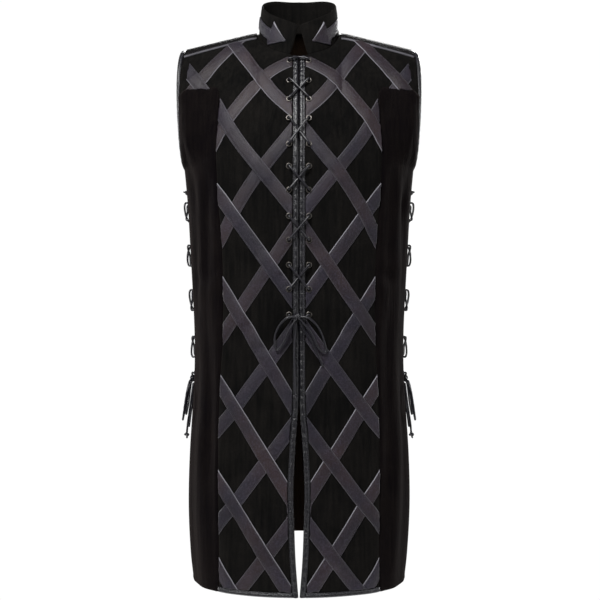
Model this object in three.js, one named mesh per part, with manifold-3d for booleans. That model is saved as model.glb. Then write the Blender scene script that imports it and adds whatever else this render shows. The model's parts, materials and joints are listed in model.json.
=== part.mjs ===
// A long sleeveless jerkin of black suede. Two open fronts carry a diagonal lattice of leather
// strips and lace up the centre; plain side fronts lace to a plain back at both sides.
// Millimetres. +Z is up, the front faces -Y, and the origin lies between the shoulders,
// midway between front and back, at the height of the shoulder seam.
import * as THREE from "three";
import { mergeVertices } from "three/addons/utils/BufferGeometryUtils.js";
import Module from "manifold-3d";

const wasm = await Module();
wasm.setup();

// ---- driving dimensions ----
const seamGap = 0.3; // left free between two pieces that are sewn together
const suedeThick = 2;
const leatherThick = 1.2;
const collarThick = 3;
const hemLine = -1005;
const armpit = -233; // bottom of the armholes
const yokeLine = -92; // top edge of the side fronts
const sideGap = 5; // half of the laced gap between a side front and the back
const neckHalfWidth = 76;
const shoulderTip = { x: 213, z: -6 };
const neckShare = 0.27; // share of a half front that ends in the neckline
const lapWidth = 8; // leather turned over an armhole edge
const frontLap = 10.5; // leather turned over a front edge
const lapEnd = 0.035; // surface coordinate at which the front binding ends
const hemLap = 9;
const stripWidth = 24;
const eyelet = { outer: 5.5, hole: 2.8, rise: 4.4, fromCentre: 17.6, sides: 6 };
const holeReach = 8; // how far a cut for a hole goes to each side of the cloth
const fold = { front: 1.9, armhole: 1.8, inside: 0.3 }; // how far a binding stands proud of its cloth
// Height of a sewn-on piece's straight steps over the rounded cloth under them.
const seat = { strip: 0.75, topStrip: 0.5, shoulderStrip: 0.45, strapShaft: 1, strapHead: 0.85 };
// Lace thickness, and its height over the cloth: out of and inside a hole, and at the lower
// and upper strand of a crossing.
const lace = {
  thick: 3.8,
  inside: -5.5,
  front: { outside: 6.8, lower: 4.9, upper: 9.4 },
  side: { outside: 3.6, lower: 2.8, upper: 7.2 },
};

// Half width of the body, reach of front and back from the middle, and where the seam
// between lattice panel and side front lies, at each height.
const girths = [
  { z: -1005, half: 199, front: 135, back: 134, seam: 145 },
  { z: -957, half: 204, front: 135, back: 135, seam: 145 },
  { z: -862, half: 208, front: 134, back: 134, seam: 145 },
  { z: -766, half: 206, front: 131, back: 128, seam: 145 },
  { z: -633, half: 198, front: 127, back: 114, seam: 143 },
  { z: -545, half: 198, front: 126, back: 110, seam: 138 },
  { z: -385, half: 206, front: 131, back: 118, seam: 139 },
  { z: -300, half: 211, front: 134, back: 124, seam: 146 },
  { z: -233, half: 217, front: 134, back: 128, seam: 149 },
];

// Half of the slit between the two fronts: laced shut above, falling open below.
const slits = [
  { z: -1005, half: 1 },
  { z: -938, half: 6 },
  { z: -885, half: 8 },
  { z: -814, half: 9.5 },
  { z: -726, half: 5.3 },
  { z: -655, half: seamGap },
  { z: -560, half: seamGap },
  { z: 0, half: seamGap },
];

// Stand collar: heights of its lower and upper edge, turning from the front to the back.
const collarRows = [
  { turn: 0, base: -37, top: 26 },
  { turn: 45, base: -14, top: 51 },
  { turn: 90, base: 27, top: 76 },
  { turn: 135, base: 41, top: 98 },
  { turn: 180, base: 46, top: 107 },
];
const collarReach = { front: 75, back: 62, leanFront: 13, leanSide: 5, leanBack: 3 };
const collarOpening = 13; // degrees that the lower front corners stand off the centre

// How front and back close over the shoulder and round the armhole.
const faces = {
  front: { sign: -1, depth: "front", neckReach: 75, armReach: 88, shoulderReach: 72, neckDrop: 50 },
  back: { sign: 1, depth: "back", neckReach: 62, armReach: 80, shoulderReach: 66, neckDrop: 12 },
};

// Centre lines of the strips on one front, as distance from the centre and height.
// Inward strips fall towards the centre, outward ones away from it.
const strips = [
  { name: "inward_1", inward: true, isHigh: true, line: [[116, -11], [66, -83], [39, -117], [10, -144]] },
  { name: "inward_2_top", inward: true, isTop: true, isHigh: true, line: [[205, -58], [178, -94]] },
  { name: "inward_2", inward: true, line: [[149, -127], [111, -193], [68, -248], [10, -320]] },
  { name: "inward_3", inward: true, line: [[146, -288], [10, -478]] },
  { name: "inward_4", inward: true, line: [[138, -455], [10, -668]] },
  { name: "inward_5", inward: true, line: [[143, -630], [10, -838]] },
  { name: "inward_6", inward: true, line: [[145, -802], [10, -1010]] },
  { name: "inward_7", inward: true, line: [[145, -960], [110, -1012]] },
  {
    name: "outward_0", inward: false, isTop: true, isHigh: true,
    line: [[134, -22], [165, -58], [192, -94]],
  },
  {
    name: "outward_1", inward: false, isHigh: true,
    line: [[10, -43], [55, -70], [100, -120], [140, -176], [149, -194]],
  },
  { name: "outward_2", inward: false, line: [[10, -179], [92, -284], [141, -373]] },
  { name: "outward_3", inward: false, line: [[10, -356], [138, -545]] },
  { name: "outward_4", inward: false, line: [[10, -531], [145, -715]] },
  { name: "outward_5", inward: false, line: [[10, -701], [145, -883]] },
  { name: "outward_6", inward: false, line: [[10, -868], [101, -990]] },
];

const eyeletHeights = [-46, -85, -122, -158, -205, -244, -286, -332, -374, -418, -461, -506];
const sideEyelets = [-276, -297, -329, -377, -415, -461, -499, -549, -587, -617];
const sideEyeletInset = 14;

const colours = {
  suede: 0x141210,
  sideSuede: 0x150f0d,
  strip: 0x3a363e,
  binding: 0x3b3942,
  lace: 0x2b2731,
};

// ---- small numeric tools ----
const lerp = (a, b, t) => a + (b - a) * t;
const clamp = (x, low, high) => Math.min(Math.max(x, low), high);

function smooth(low, high, x) {
  const t = clamp((x - low) / (high - low), 0, 1);
  return t * t * (3 - 2 * t);
}

// Smooth curve through the rows of a table whose first column grows.
function read(rows, key, column, x) {
  const last = rows.length - 1;
  let i = 0;
  while (i < last - 1 && x > rows[i + 1][key]) i += 1;
  const slope = (k) => {
    const a = rows[Math.max(k - 1, 0)];
    const b = rows[Math.min(k + 1, last)];
    return (b[column] - a[column]) / (b[key] - a[key]);
  };
  const width = rows[i + 1][key] - rows[i][key];
  const t = clamp((x - rows[i][key]) / width, 0, 1);
  const h = t * t * (3 - 2 * t);
  const rise = t * (1 - t) * (1 - t) * width * slope(i);
  const fall = t * t * (t - 1) * width * slope(i + 1);
  return lerp(rows[i][column], rows[i + 1][column], h) + rise + fall;
}

function bezier(points, t) {
  const r = 1 - t;
  const weights = [r * r * r, 3 * r * r * t, 3 * r * t * t, t * t * t];
  const sum = new THREE.Vector3();
  points.forEach((p, k) => sum.addScaledVector(p, weights[k]));
  return sum;
}

// ---- the body's surface ----
// A quarter of the body's ring at one height, from the centre line to the side edge.
function quarter(face, z) {
  const half = read(girths, "z", "half", z);
  const reach = read(girths, "z", face.depth, z);
  return [
    new THREE.Vector3(0, face.sign * reach, z),
    new THREE.Vector3(0.62 * half, face.sign * reach, z),
    new THREE.Vector3(half, face.sign * 0.62 * reach, z),
    new THREE.Vector3(half, face.sign * sideGap, z),
  ];
}

const quarterTables = new Map();

// Point at a share of the quarter ring's length.
function ringPoint(face, z, share) {
  const key = `${face.depth}${z}`;
  if (!quarterTables.has(key)) {
    const points = quarter(face, z);
    const count = 40;
    const lengths = [0];
    for (let k = 1; k <= count; k += 1) {
      lengths.push(lengths[k - 1] + bezier(points, (k - 1) / count).distanceTo(bezier(points, k / count)));
    }
    quarterTables.set(key, { points, lengths, count });
  }
  const { points, lengths, count } = quarterTables.get(key);
  const goal = clamp(share, 0, 1) * lengths[count];
  let k = 0;
  while (k < count - 1 && lengths[k + 1] < goal) k += 1;
  return bezier(points, (k + (goal - lengths[k]) / (lengths[k + 1] - lengths[k])) / count);
}

function bisect(low, high, isBelow) {
  for (let k = 0; k < 30; k += 1) {
    const middle = (low + high) / 2;
    if (isBelow(middle)) low = middle;
    else high = middle;
  }
  return (low + high) / 2;
}

const lapShares = new Map();

// Share of the front at which the binding of the front edge ends.
function lapShare(z) {
  if (!lapShares.has(z)) {
    lapShares.set(z, bisect(0, 0.2, (s) => halfPoint(faces.front, s, z).x < frontLap));
  }
  return lapShares.get(z);
}

const seamShares = new Map();

// Share of the front's quarter ring at which the lattice panel ends.
function seamShare(z) {
  const level = Math.min(z, armpit);
  if (!seamShares.has(level)) {
    const goal = read(girths, "z", "seam", level);
    seamShares.set(level, bisect(0, 1, (s) => ringPoint(faces.front, level, s).x < goal));
  }
  return seamShares.get(level);
}

// The upper edge of a half front or half back: neckline, then shoulder seam.
function topEdge(face, share) {
  if (share >= neckShare) {
    const t = (share - neckShare) / (1 - neckShare);
    const ridge = read(collarRows, "turn", "base", 90);
    return new THREE.Vector3(lerp(neckHalfWidth, shoulderTip.x, t), 0, lerp(ridge, shoulderTip.z, t));
  }
  const angle = (share / neckShare) * 90;
  const turn = face.sign < 0 ? angle : 180 - angle;
  const radians = (angle * Math.PI) / 180;
  return new THREE.Vector3(
    neckHalfWidth * Math.sin(radians),
    face.sign * face.neckReach * Math.cos(radians),
    read(collarRows, "turn", "base", turn),
  );
}

// A column of the surface from the armpit's level up to the neck or shoulder.
function column(face, share) {
  const foot = ringPoint(face, armpit, share);
  const top = topEdge(face, share);
  const rise = foot.clone().sub(ringPoint(face, armpit - 10, share)).normalize();
  const third = (top.z - foot.z) / 3;
  const arm = smooth(0.55, 1, share);
  const neck = 1 - smooth(0, neckShare * 1.4, share);
  const aroundArm = new THREE.Vector3(5, face.sign * face.armReach, 12);
  const lower = foot.clone().addScaledVector(rise, third * (1 - arm)).addScaledVector(aroundArm, arm);
  const reach = lerp(face.shoulderReach, 28, neck);
  const drop = lerp(7, face.neckDrop, neck);
  const upper = top.clone().add(new THREE.Vector3(9 * arm, face.sign * reach, -drop));
  return [foot, lower, upper, top];
}

// Surface point of one half. The height is real up to the yoke line; above it, the heights
// from the yoke line to 0 share out what is left of each column.
function halfPoint(face, share, height) {
  if (height <= armpit) return ringPoint(face, height, share);
  const points = column(face, share);
  const level = Math.min(height, yokeLine);
  const t = bisect(0, 1, (k) => bezier(points, k).z < level);
  if (height <= yokeLine) return bezier(points, t);
  return bezier(points, lerp(t, 1, 1 - height / yokeLine));
}

// u runs from the centre (0) over the binding's edge and the panel seam (0.5) to the side or
// armhole (1).
function frontShare(u, height) {
  const lap = lapShare(height);
  const seam = seamShare(height);
  if (u < lapEnd) return (u / lapEnd) * lap;
  return u < 0.5 ? lerp(lap, seam, (u - lapEnd) / (0.5 - lapEnd)) : lerp(seam, 1, 2 * u - 1);
}

function frontPoint(u, height) {
  const point = halfPoint(faces.front, frontShare(u, height), height);
  const slit = Math.max(read(slits, "z", "half", height), seamGap);
  point.x += slit * (1 - smooth(0, 0.5, u));
  return point;
}

// The back's hem is higher than the front's, and highest at its centre.
const backHem = { centre: -954, side: -986, squeezeFrom: -700 };

function backPoint(u, height) {
  const hem = lerp(backHem.centre, backHem.side, u * u);
  const stretch = (hem - backHem.squeezeFrom) / (hemLine - backHem.squeezeFrom);
  const below = Math.min(height - backHem.squeezeFrom, 0);
  return halfPoint(faces.back, u, Math.max(height, backHem.squeezeFrom) + below * stretch);
}

// Point and outward normal; side is -1 or 1.
function skin(pointAt, facing) {
  return (side, u, height) => {
    const du = 0.012;
    const dv = 5;
    const across = pointAt(Math.min(u + du, 1), height).sub(pointAt(Math.max(u - du, 0), height));
    const up = pointAt(u, Math.min(height + dv, 0)).sub(pointAt(u, Math.max(height - dv, hemLine)));
    const normal = across.cross(up).multiplyScalar(facing).normalize();
    normal.x *= side * smooth(0, 0.08, u);
    normal.normalize();
    const point = pointAt(u, height);
    point.x *= side;
    return { point, normal };
  };
}

const frontSkin = skin(frontPoint, 1);
const backSkin = skin(backPoint, -1);

// Collar: angle from the centre front in degrees, and share of its height.
function collarPoint(turn, share) {
  const radians = (turn * Math.PI) / 180;
  const ahead = Math.cos(radians);
  const reach = ahead > 0 ? collarReach.front : collarReach.back;
  const lean = ahead > 0 ? collarReach.leanFront : collarReach.leanBack;
  const base = read(collarRows, "turn", "base", turn) + seamGap;
  const top = read(collarRows, "turn", "top", turn);
  return new THREE.Vector3(
    (neckHalfWidth - collarReach.leanSide * share) * Math.sin(radians),
    -(reach - lean * share) * ahead,
    lerp(base, top, share),
  );
}

function collarSkin(side, turn, share) {
  const along = collarPoint(turn + 1, share).sub(collarPoint(turn - 1, share));
  const up = collarPoint(turn, share + 0.05).sub(collarPoint(turn, share - 0.05));
  const normal = along.cross(up).normalize();
  const point = collarPoint(turn, share);
  point.x *= side;
  normal.x *= side;
  return { point, normal };
}

// ---- solids ----
function signedVolume(positions, triangles) {
  const corner = (k) => new THREE.Vector3().fromArray(positions, 3 * k);
  let volume = 0;
  for (let k = 0; k < triangles.length; k += 3) {
    const [a, b, c] = [corner(triangles[k]), corner(triangles[k + 1]), corner(triangles[k + 2])];
    volume += a.dot(b.cross(c)) / 6;
  }
  return volume;
}

function solid(positions, triangles) {
  const geometry = new THREE.BufferGeometry();
  geometry.setAttribute("position", new THREE.Float32BufferAttribute(positions, 3));
  if (signedVolume(positions, triangles) < 0) {
    for (let k = 0; k < triangles.length; k += 3) {
      [triangles[k], triangles[k + 1]] = [triangles[k + 1], triangles[k]];
    }
  }
  geometry.setIndex(triangles);
  return geometry;
}

// A wall over a grid of surface points. low and high are its two faces' distances along the
// normals; keep says which cells exist; a ring joins the grid's last row to its first.
function wall(grid, low, high, { keep = () => true, ring = false } = {}) {
  const rows = grid.length;
  const width = grid[0].length;
  const cellRows = ring ? rows : rows - 1;
  const positions = [];
  const triangles = [];
  const numbers = new Map();
  const reach = (value, i, j) => (typeof value === "function" ? value(i, j) : value);
  const vertex = (i, j, isHigh) => {
    const row = i % rows;
    const key = `${row},${j},${isHigh}`;
    if (!numbers.has(key)) {
      const { point, normal } = grid[row][j];
      const place = point.clone().addScaledVector(normal, reach(isHigh ? high : low, row, j));
      numbers.set(key, positions.length / 3);
      positions.push(place.x, place.y, place.z);
    }
    return numbers.get(key);
  };
  const has = (i, j) => {
    if (j < 0 || j >= width - 1) return false;
    if (!ring && (i < 0 || i >= cellRows)) return false;
    return keep((i + cellRows) % cellRows, j);
  };
  const quad = (a, b, c, d) => triangles.push(a, b, c, a, c, d);
  const edge = (i1, j1, i2, j2) =>
    quad(vertex(i1, j1, false), vertex(i2, j2, false), vertex(i2, j2, true), vertex(i1, j1, true));
  for (let i = 0; i < cellRows; i += 1) {
    for (let j = 0; j < width - 1; j += 1) {
      if (!has(i, j)) continue;
      const corners = [[i, j], [i, j + 1], [i + 1, j + 1], [i + 1, j]];
      quad(...corners.map(([row, column]) => vertex(row, column, true)));
      quad(...corners.reverse().map(([row, column]) => vertex(row, column, false)));
      if (!has(i - 1, j)) edge(i, j, i, j + 1);
      if (!has(i + 1, j)) edge(i + 1, j + 1, i + 1, j);
      if (!has(i, j - 1)) edge(i + 1, j, i, j);
      if (!has(i, j + 1)) edge(i, j + 1, i + 1, j + 1);
    }
  }
  return solid(positions, triangles);
}

function steps(from, to, count) {
  return Array.from({ length: count + 1 }, (_, k) => lerp(from, to, k / count));
}

const grid = (heights, shares, at) => heights.map((v) => shares.map((u) => at(u, v)));

function toManifold(geometry) {
  const bare = geometry.clone();
  bare.deleteAttribute("normal");
  bare.deleteAttribute("uv");
  const merged = mergeVertices(bare, 1e-4);
  return new wasm.Manifold(new wasm.Mesh({
    numProp: 3,
    vertProperties: new Float32Array(merged.attributes.position.array),
    triVerts: new Uint32Array(merged.index.array),
  }));
}

// The largest body of a cut solid, back as a geometry.
function fromManifold(shape) {
  const bodies = shape.decompose().sort((a, b) => b.volume() - a.volume());
  const mesh = bodies[0].getMesh();
  return solid([...mesh.vertProperties], [...mesh.triVerts]);
}

// A short tube or pin along a surface normal.
function peg({ point, normal }, outer, inner, low, high, sides) {
  const profile = [
    new THREE.Vector2(inner, low),
    new THREE.Vector2(outer, low),
    new THREE.Vector2(outer, high),
    new THREE.Vector2(inner, high),
  ];
  if (inner > 0) profile.push(profile[0].clone());
  const geometry = new THREE.LatheGeometry(profile, sides);
  const turn = new THREE.Quaternion().setFromUnitVectors(new THREE.Vector3(0, 1, 0), normal);
  geometry.applyQuaternion(turn);
  geometry.translate(point.x, point.y, point.z);
  return toManifold(geometry);
}

// ---- assembly ----
const vest = new THREE.Group();

function add(name, geometry, colour, roughness = 0.9) {
  const material = new THREE.MeshStandardMaterial({ color: colour, roughness, metalness: 0 });
  const mesh = new THREE.Mesh(geometry, material);
  mesh.name = name;
  vest.add(mesh);
}

const sides = [
  { side: -1, label: "left" },
  { side: 1, label: "right" },
];

const skirtRows = steps(hemLine, armpit, 10);
const armRows = [-225, -206, -176, -136];
const shoulderRows = [-70, -46, -23, -2 * seamGap];

// ---- fronts, side fronts and their bindings ----
function frontEyelets(side) {
  return eyeletHeights.map((z) => onFront(side, eyelet.fromCentre, z));
}

// Share and height of the front surface at a distance from the centre and a real height.
function solveFront(x, z) {
  let u = clamp(x / 300, 0.02, 0.98);
  let v = Math.min(z, -20);
  for (let k = 0; k < 25; k += 1) {
    const here = frontPoint(u, v);
    const missX = x - here.x;
    const missZ = z - here.z;
    if (Math.abs(missX) + Math.abs(missZ) < 0.01) break;
    const du = u > 0.9 ? -0.004 : 0.004;
    const dv = v > -10 ? -1 : 1;
    const sideways = frontPoint(u + du, v).sub(here).divideScalar(du);
    const upwards = frontPoint(u, v + dv).sub(here).divideScalar(dv);
    const area = sideways.x * upwards.z - upwards.x * sideways.z;
    u = clamp(u + clamp((missX * upwards.z - upwards.x * missZ) / area, -0.1, 0.1), 0, 1);
    v = clamp(v + clamp((sideways.x * missZ - missX * sideways.z) / area, -60, 60), hemLine, 0);
  }
  return { u, v };
}

function onFront(side, x, z) {
  const { u, v } = solveFront(x, z);
  return frontSkin(side, u, v);
}

// The panel's columns; one ends at the corner between neckline and shoulder seam.
const neckCorner = lerp(lapEnd, 0.5, (neckShare - lapShare(0)) / (seamShare(0) - lapShare(0)));
const panelShares = [lapEnd + 0.001, 0.08, 0.125, 0.17, 0.215, neckCorner, 0.32, 0.38, 0.44, 0.499];
const sideShares = [0.58, 0.67, 0.76, 0.85, 0.93, 1];
const backNeckShares = [0.07, 0.135, 0.2, neckShare];
const yokeStart = yokeLine + 0.2; // the shoulder part starts just above the side front

function addFront({ side, label }) {
  const shares = [...panelShares, ...sideShares];
  const seamColumn = panelShares.length - 1;
  const hem = hemLine + hemLap + seamGap;
  const heights = [hem, ...skirtRows.slice(1), ...armRows, yokeStart, ...shoulderRows];
  const yokeRow = heights.indexOf(yokeStart);
  const points = grid(heights, shares, (u, v) => frontSkin(side, u, v));
  const keep = (i, j) => j < seamColumn || i >= yokeRow;
  let panel = toManifold(wall(points, -suedeThick, 0, { keep }));
  for (const place of frontEyelets(side)) {
    panel = panel.add(peg(place, eyelet.outer, 0, -1, eyelet.rise, eyelet.sides));
  }
  for (const place of frontEyelets(side)) {
    panel = panel.subtract(peg(place, eyelet.hole, 0, -holeReach, holeReach, eyelet.sides));
  }
  add(`front_${label}`, fromManifold(panel), colours.suede);
}

function addFrontBinding({ side, label }) {
  const shares = [0, lapEnd, ...panelShares.slice(1)];
  const skirt = [hemLine, hemLine + hemLap, ...skirtRows.slice(1)];
  const heights = [...skirt, ...armRows, yokeLine, ...shoulderRows];
  const points = grid(heights, shares, (u, v) => frontSkin(side, u, v));
  const keep = (i, j) => i === 0 || j === 0;
  const leather = wall(points, -suedeThick - fold.inside, fold.front, { keep });
  add(`front_binding_${label}`, leather, colours.binding, 0.5);
}

function sideEyeletPlaces(at, side, pointAt) {
  return sideEyelets.map((z) => {
    const edge = pointAt(1, z);
    const u = bisect(0.8, 1, (k) => pointAt(k, z).distanceTo(edge) > sideEyeletInset);
    return at(side, u, z);
  });
}

function pierce(geometry, places) {
  let shape = toManifold(geometry);
  for (const place of places) {
    shape = shape.subtract(peg(place, eyelet.hole, 0, -holeReach, holeReach, eyelet.sides));
  }
  return fromManifold(shape);
}

function addSideFront({ side, label }) {
  const shares = [0.501, ...sideShares];
  const heights = [...skirtRows, ...armRows, yokeLine];
  const points = grid(heights, shares, (u, v) => frontSkin(side, u, v));
  const places = sideEyeletPlaces(frontSkin, side, frontPoint);
  add(`side_front_${label}`, pierce(wall(points, -suedeThick, 0), places), colours.sideSuede);
}

function addBack() {
  const half = [...backNeckShares, 0.4, 0.53, 0.66, 0.78, 0.89, 1];
  const shares = [...half.map((u) => -u).reverse(), 0, ...half];
  const heights = [...skirtRows, ...armRows, yokeLine, ...shoulderRows];
  const points = grid(heights, shares, (u, v) => backSkin(u < 0 ? -1 : 1, Math.abs(u), v));
  const places = sides.flatMap(({ side }) => sideEyeletPlaces(backSkin, side, backPoint));
  add("back", pierce(wall(points, -suedeThick, 0), places), colours.sideSuede);
}

// ---- lattice strips ----
// Points every few millimetres along a strip's centre line, run out past both ends.
function centreLine(line) {
  const overrun = 45;
  const flat = line.map(([x, z]) => new THREE.Vector2(x, z));
  const first = flat[0].clone().sub(flat[1]).setLength(overrun).add(flat[0]);
  const end = flat.length - 1;
  const last = flat[end].clone().sub(flat[end - 1]).setLength(overrun).add(flat[end]);
  const curve = new THREE.SplineCurve([first, ...flat, last]);
  return curve.getSpacedPoints(Math.round(curve.getLength() / 3));
}

// The same line laid on the right front: each place with its distance along the leather.
// Past the front edge and the hem it runs straight on.
function laidLine(path) {
  let distance = 0;
  let before = null;
  return path.map((place) => {
    const x = Math.max(place.x, 0.5);
    const z = clamp(place.y, hemLine + 1, 24);
    const { u, v } = solveFront(x, z);
    const { point, normal } = frontSkin(1, u, v);
    point.x += place.x - x;
    point.z += place.y - z;
    if (before) distance += Math.max(before.distanceTo(point), 0.5);
    before = point;
    return { point, normal, distance, height: place.y };
  });
}

// Where each of the other strips crosses this centre line, as distances along it.
function crossings(own, laid, others) {
  const found = [];
  for (const other of others) {
    for (let i = 0; i < own.length - 1; i += 1) {
      for (let j = 0; j < other.length - 1; j += 1) {
        const a = own[i + 1].clone().sub(own[i]);
        const b = other[j + 1].clone().sub(other[j]);
        const between = other[j].clone().sub(own[i]);
        const area = a.cross(b);
        const s = between.cross(b) / area;
        const t = between.cross(a) / area;
        const meets = s >= 0 && s < 1 && t >= 0 && t < 1;
        if (meets) found.push(lerp(laid[i].distance, laid[i + 1].distance, s));
      }
    }
  }
  return found;
}

// The longest stretch of one strip edge that lies inside the lattice panel, as distances.
function edgeInside(edge, laid, limits) {
  let best = [0, 0];
  let from = -1;
  edge.forEach(({ u, v }, k) => {
    const outer = v > yokeLine ? limits.armhole : limits.seam;
    const inside = u > limits.centre && u < outer && v > limits.hem && v < limits.top;
    if (inside && from < 0) from = k;
    if (inside && k - from > best[1] - best[0]) best = [from, k];
    if (!inside) from = -1;
  });
  return best.map((k) => laid[k].distance);
}

// How far round a crossing the upper strip rides on the lower one, and where it is down again.
const rampStart = 25;
const rampEnd = 34;

// Distances at which a strip is stepped: round each crossing it rides over, and between.
function stripStations(laid, bumps, from, to) {
  const stations = bumps.flatMap((b) => [b - rampEnd, b - rampStart, b + rampStart, b + rampEnd]);
  let distance = from;
  while (distance < to) {
    const place = laid.find((each) => each.distance >= distance);
    const isRound = place.height > -130;
    distance += isRound ? 10 : 22;
    const nearest = Math.min(1e6, ...stations.map((d) => Math.abs(d - distance)));
    if (nearest > (isRound ? 4 : 9)) stations.push(distance);
  }
  return stations.filter((d) => d > from + 1 && d < to - 1).sort((a, b) => a - b);
}

function buildStrip(side, strip, others) {
  const laid = strip.laid;
  const ways = strip.isHigh ? [-1, 0, 1] : [-1, 1];
  const edges = ways.map((way) => laid.map(({ point, normal }, k) => {
    const ahead = laid[Math.min(k + 1, laid.length - 1)].point.clone();
    const along = ahead.sub(laid[Math.max(k - 1, 0)].point).normalize();
    const place = along.cross(normal).setLength((way * stripWidth) / 2).add(point);
    const isOff = place.x < 0.5 || place.z < hemLine + 1;
    return isOff ? { u: -1, v: 0 } : solveFront(place.x, place.z);
  }));
  const limits = {
    centre: lapEnd + 0.003,
    seam: 0.496,
    armhole: 0.9,
    hem: strip.isTop ? yokeLine + 1 : hemLine + hemLap + 0.8,
    top: -12,
  };
  const spans = edges.map((edge) => edgeInside(edge, laid, limits));
  const isOver = strip.inward === (side < 0);
  const bumps = isOver ? crossings(strip.path, laid, others) : [];
  // The rounder the front, the further a straight step of leather stands off it.
  const curved = strip.isTop ? 1.3 : 2;
  const slack = strip.isHigh ? curved : 0.7;
  const lift = (distance) => {
    const nearest = Math.min(1e6, ...bumps.map((b) => Math.abs(b - distance)));
    return (leatherThick + slack) * (1 - smooth(rampStart, rampEnd, nearest));
  };
  const from = Math.min(...spans.map(([start]) => start));
  const to = Math.max(...spans.map(([, end]) => end));
  const stations = stripStations(laid, bumps, from, to);
  const sliver = 0.05; // keeps steps apart where an edge has already ended
  const distances = spans.map(([start, end]) => [
    start,
    ...stations.map((d, k) => clamp(d, start + sliver * (k + 1), end - sliver * (stations.length - k))),
    end,
  ]);
  const rows = distances[0].map((_, n) => edges.map((edge, k) => {
    const distance = distances[k][n];
    const i = clamp(laid.findIndex((each) => each.distance > distance) - 1, 0, edge.length - 2);
    const part = (distance - laid[i].distance) / (laid[i + 1].distance - laid[i].distance);
    const u = lerp(edge[i].u, edge[i + 1].u, part);
    const v = lerp(edge[i].v, edge[i + 1].v, part);
    return { ...frontSkin(side, u, v), u, v, lift: lift(distance) };
  }));
  // A chord across the rounded panel lies inside it, so each row stands off by that much.
  const sag = rows.map((row) => Math.max(0, ...row.slice(1).map((b, j) => {
    const a = row[j];
    const { point, normal } = frontSkin(side, (a.u + b.u) / 2, (a.v + b.v) / 2);
    return point.sub(a.point.clone().lerp(b.point, 0.5)).dot(normal);
  })));
  const base = strip.isTop ? seat.topStrip : seat.strip;
  const low = (i, j) => base + sag[i] + rows[i][j].lift;
  return wall(rows, low, (i, j) => low(i, j) + leatherThick);
}

function addStrips({ side, label }) {
  const lines = strips.map((strip) => {
    const path = centreLine(strip.line);
    return { ...strip, path, laid: laidLine(path) };
  });
  for (const strip of lines) {
    const others = lines.filter((other) => other.inward !== strip.inward).map((other) => other.path);
    let shape = toManifold(buildStrip(side, strip, others));
    for (const place of frontEyelets(side)) {
      shape = shape.subtract(peg(place, eyelet.outer + 0.4, 0, -1, 6, eyelet.sides));
    }
    add(`strip_${label}_${strip.name}`, fromManifold(shape), colours.strip, 0.6);
  }
}

// ---- shoulder strips, armhole bindings, collar ----
function addShoulderStrip({ side, label }) {
  const shares = [neckShare + 0.03, 0.36, 0.48, 0.6, 0.72, 0.84, 0.92, 0.99];
  const rows = shares.map((share) => {
    const u = 0.5 + (0.5 * (share - seamShare(0))) / (1 - seamShare(0));
    const frontU = share < seamShare(0) ? (0.5 * share) / seamShare(0) : u;
    const ahead = frontSkin(side, frontU, -10);
    const behind = backSkin(side, share, -10);
    const point = topEdge(faces.front, share);
    point.x *= side;
    const normal = ahead.normal.clone().add(behind.normal).normalize();
    return [ahead, { point, normal }, behind];
  });
  const leather = wall(rows, seat.shoulderStrip, seat.shoulderStrip + leatherThick);
  add(`shoulder_strip_${label}`, leather, colours.binding, 0.6);
}

function addArmholeBinding({ side, label }) {
  const heights = [armpit, ...armRows, yokeLine, ...shoulderRows.slice(0, 3)];
  const frontEdge = heights.map((v) => ({ ...frontSkin(side, 1, v), inner: frontPoint(0.97, v) }));
  const backEdge = heights.map((v) => ({ ...backSkin(side, 1, v), inner: backPoint(0.97, v) }));
  const loop = [...frontEdge, ...backEdge.reverse()];
  const rows = loop.map(({ point, normal, inner }, k) => {
    const next = loop[(k + 1) % loop.length].point;
    const before = loop[(k + loop.length - 1) % loop.length].point;
    const along = next.clone().sub(before).normalize();
    const outward = along.clone().cross(normal).normalize();
    inner.x *= side;
    if (outward.dot(point.clone().sub(inner)) < 0) outward.negate();
    return [2 * seamGap, 2 * seamGap + lapWidth].map((reach) => ({
      point: point.clone().addScaledVector(outward, reach),
      normal,
    }));
  });
  const leather = wall(rows, -suedeThick, fold.armhole, { ring: true });
  add(`armhole_binding_${label}`, leather, colours.binding, 0.5);
}

function addCollar() {
  const frontTurns = panelShares.slice(1, 6).map((u) => (frontShare(u, 0) / neckShare) * 90);
  const backTurns = backNeckShares.slice(0, -1).map((share) => 180 - (share / neckShare) * 90);
  const turns = [collarOpening, ...frontTurns, ...backTurns.reverse()];
  const rows = steps(0, 1, 3).map((share) => {
    const start = lerp(collarOpening, 0.7, share); // the upper front corners all but touch
    const spread = (turn) => {
      const fromSide = (90 - turn) / (90 - collarOpening);
      return turn > 90 ? turn : lerp(90, start, fromSide);
    };
    const half = turns.map((turn) => collarSkin(1, spread(turn), share));
    const mirrored = turns.map((turn) => collarSkin(-1, spread(turn), share));
    return [...mirrored, collarSkin(1, 180, share), ...half.reverse()];
  });
  add("collar", wall(rows, -collarThick, 0), colours.suede);
}

// A strap round the front of the collar that ends in an arrow point.
const arrowRows = [
  { upper: [88, 0.62], lower: [88, 0.2] },
  { upper: [76, 0.61], lower: [77, 0.2] },
  { upper: [64, 0.6], lower: [68, 0.2] },
  { upper: [53, 0.58], lower: [59, 0.2] },
  { upper: [43.5, 0.57], lower: [51, 0.21] },
  { upper: [39, 0.82], lower: [50, 0.04] },
  { upper: [34, 0.7], lower: [42, 0.13] },
  { upper: [29, 0.59], lower: [34, 0.21] },
  { upper: [24, 0.47], lower: [26, 0.29] },
  { upper: [19, 0.37], lower: [19.5, 0.34] },
];

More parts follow.
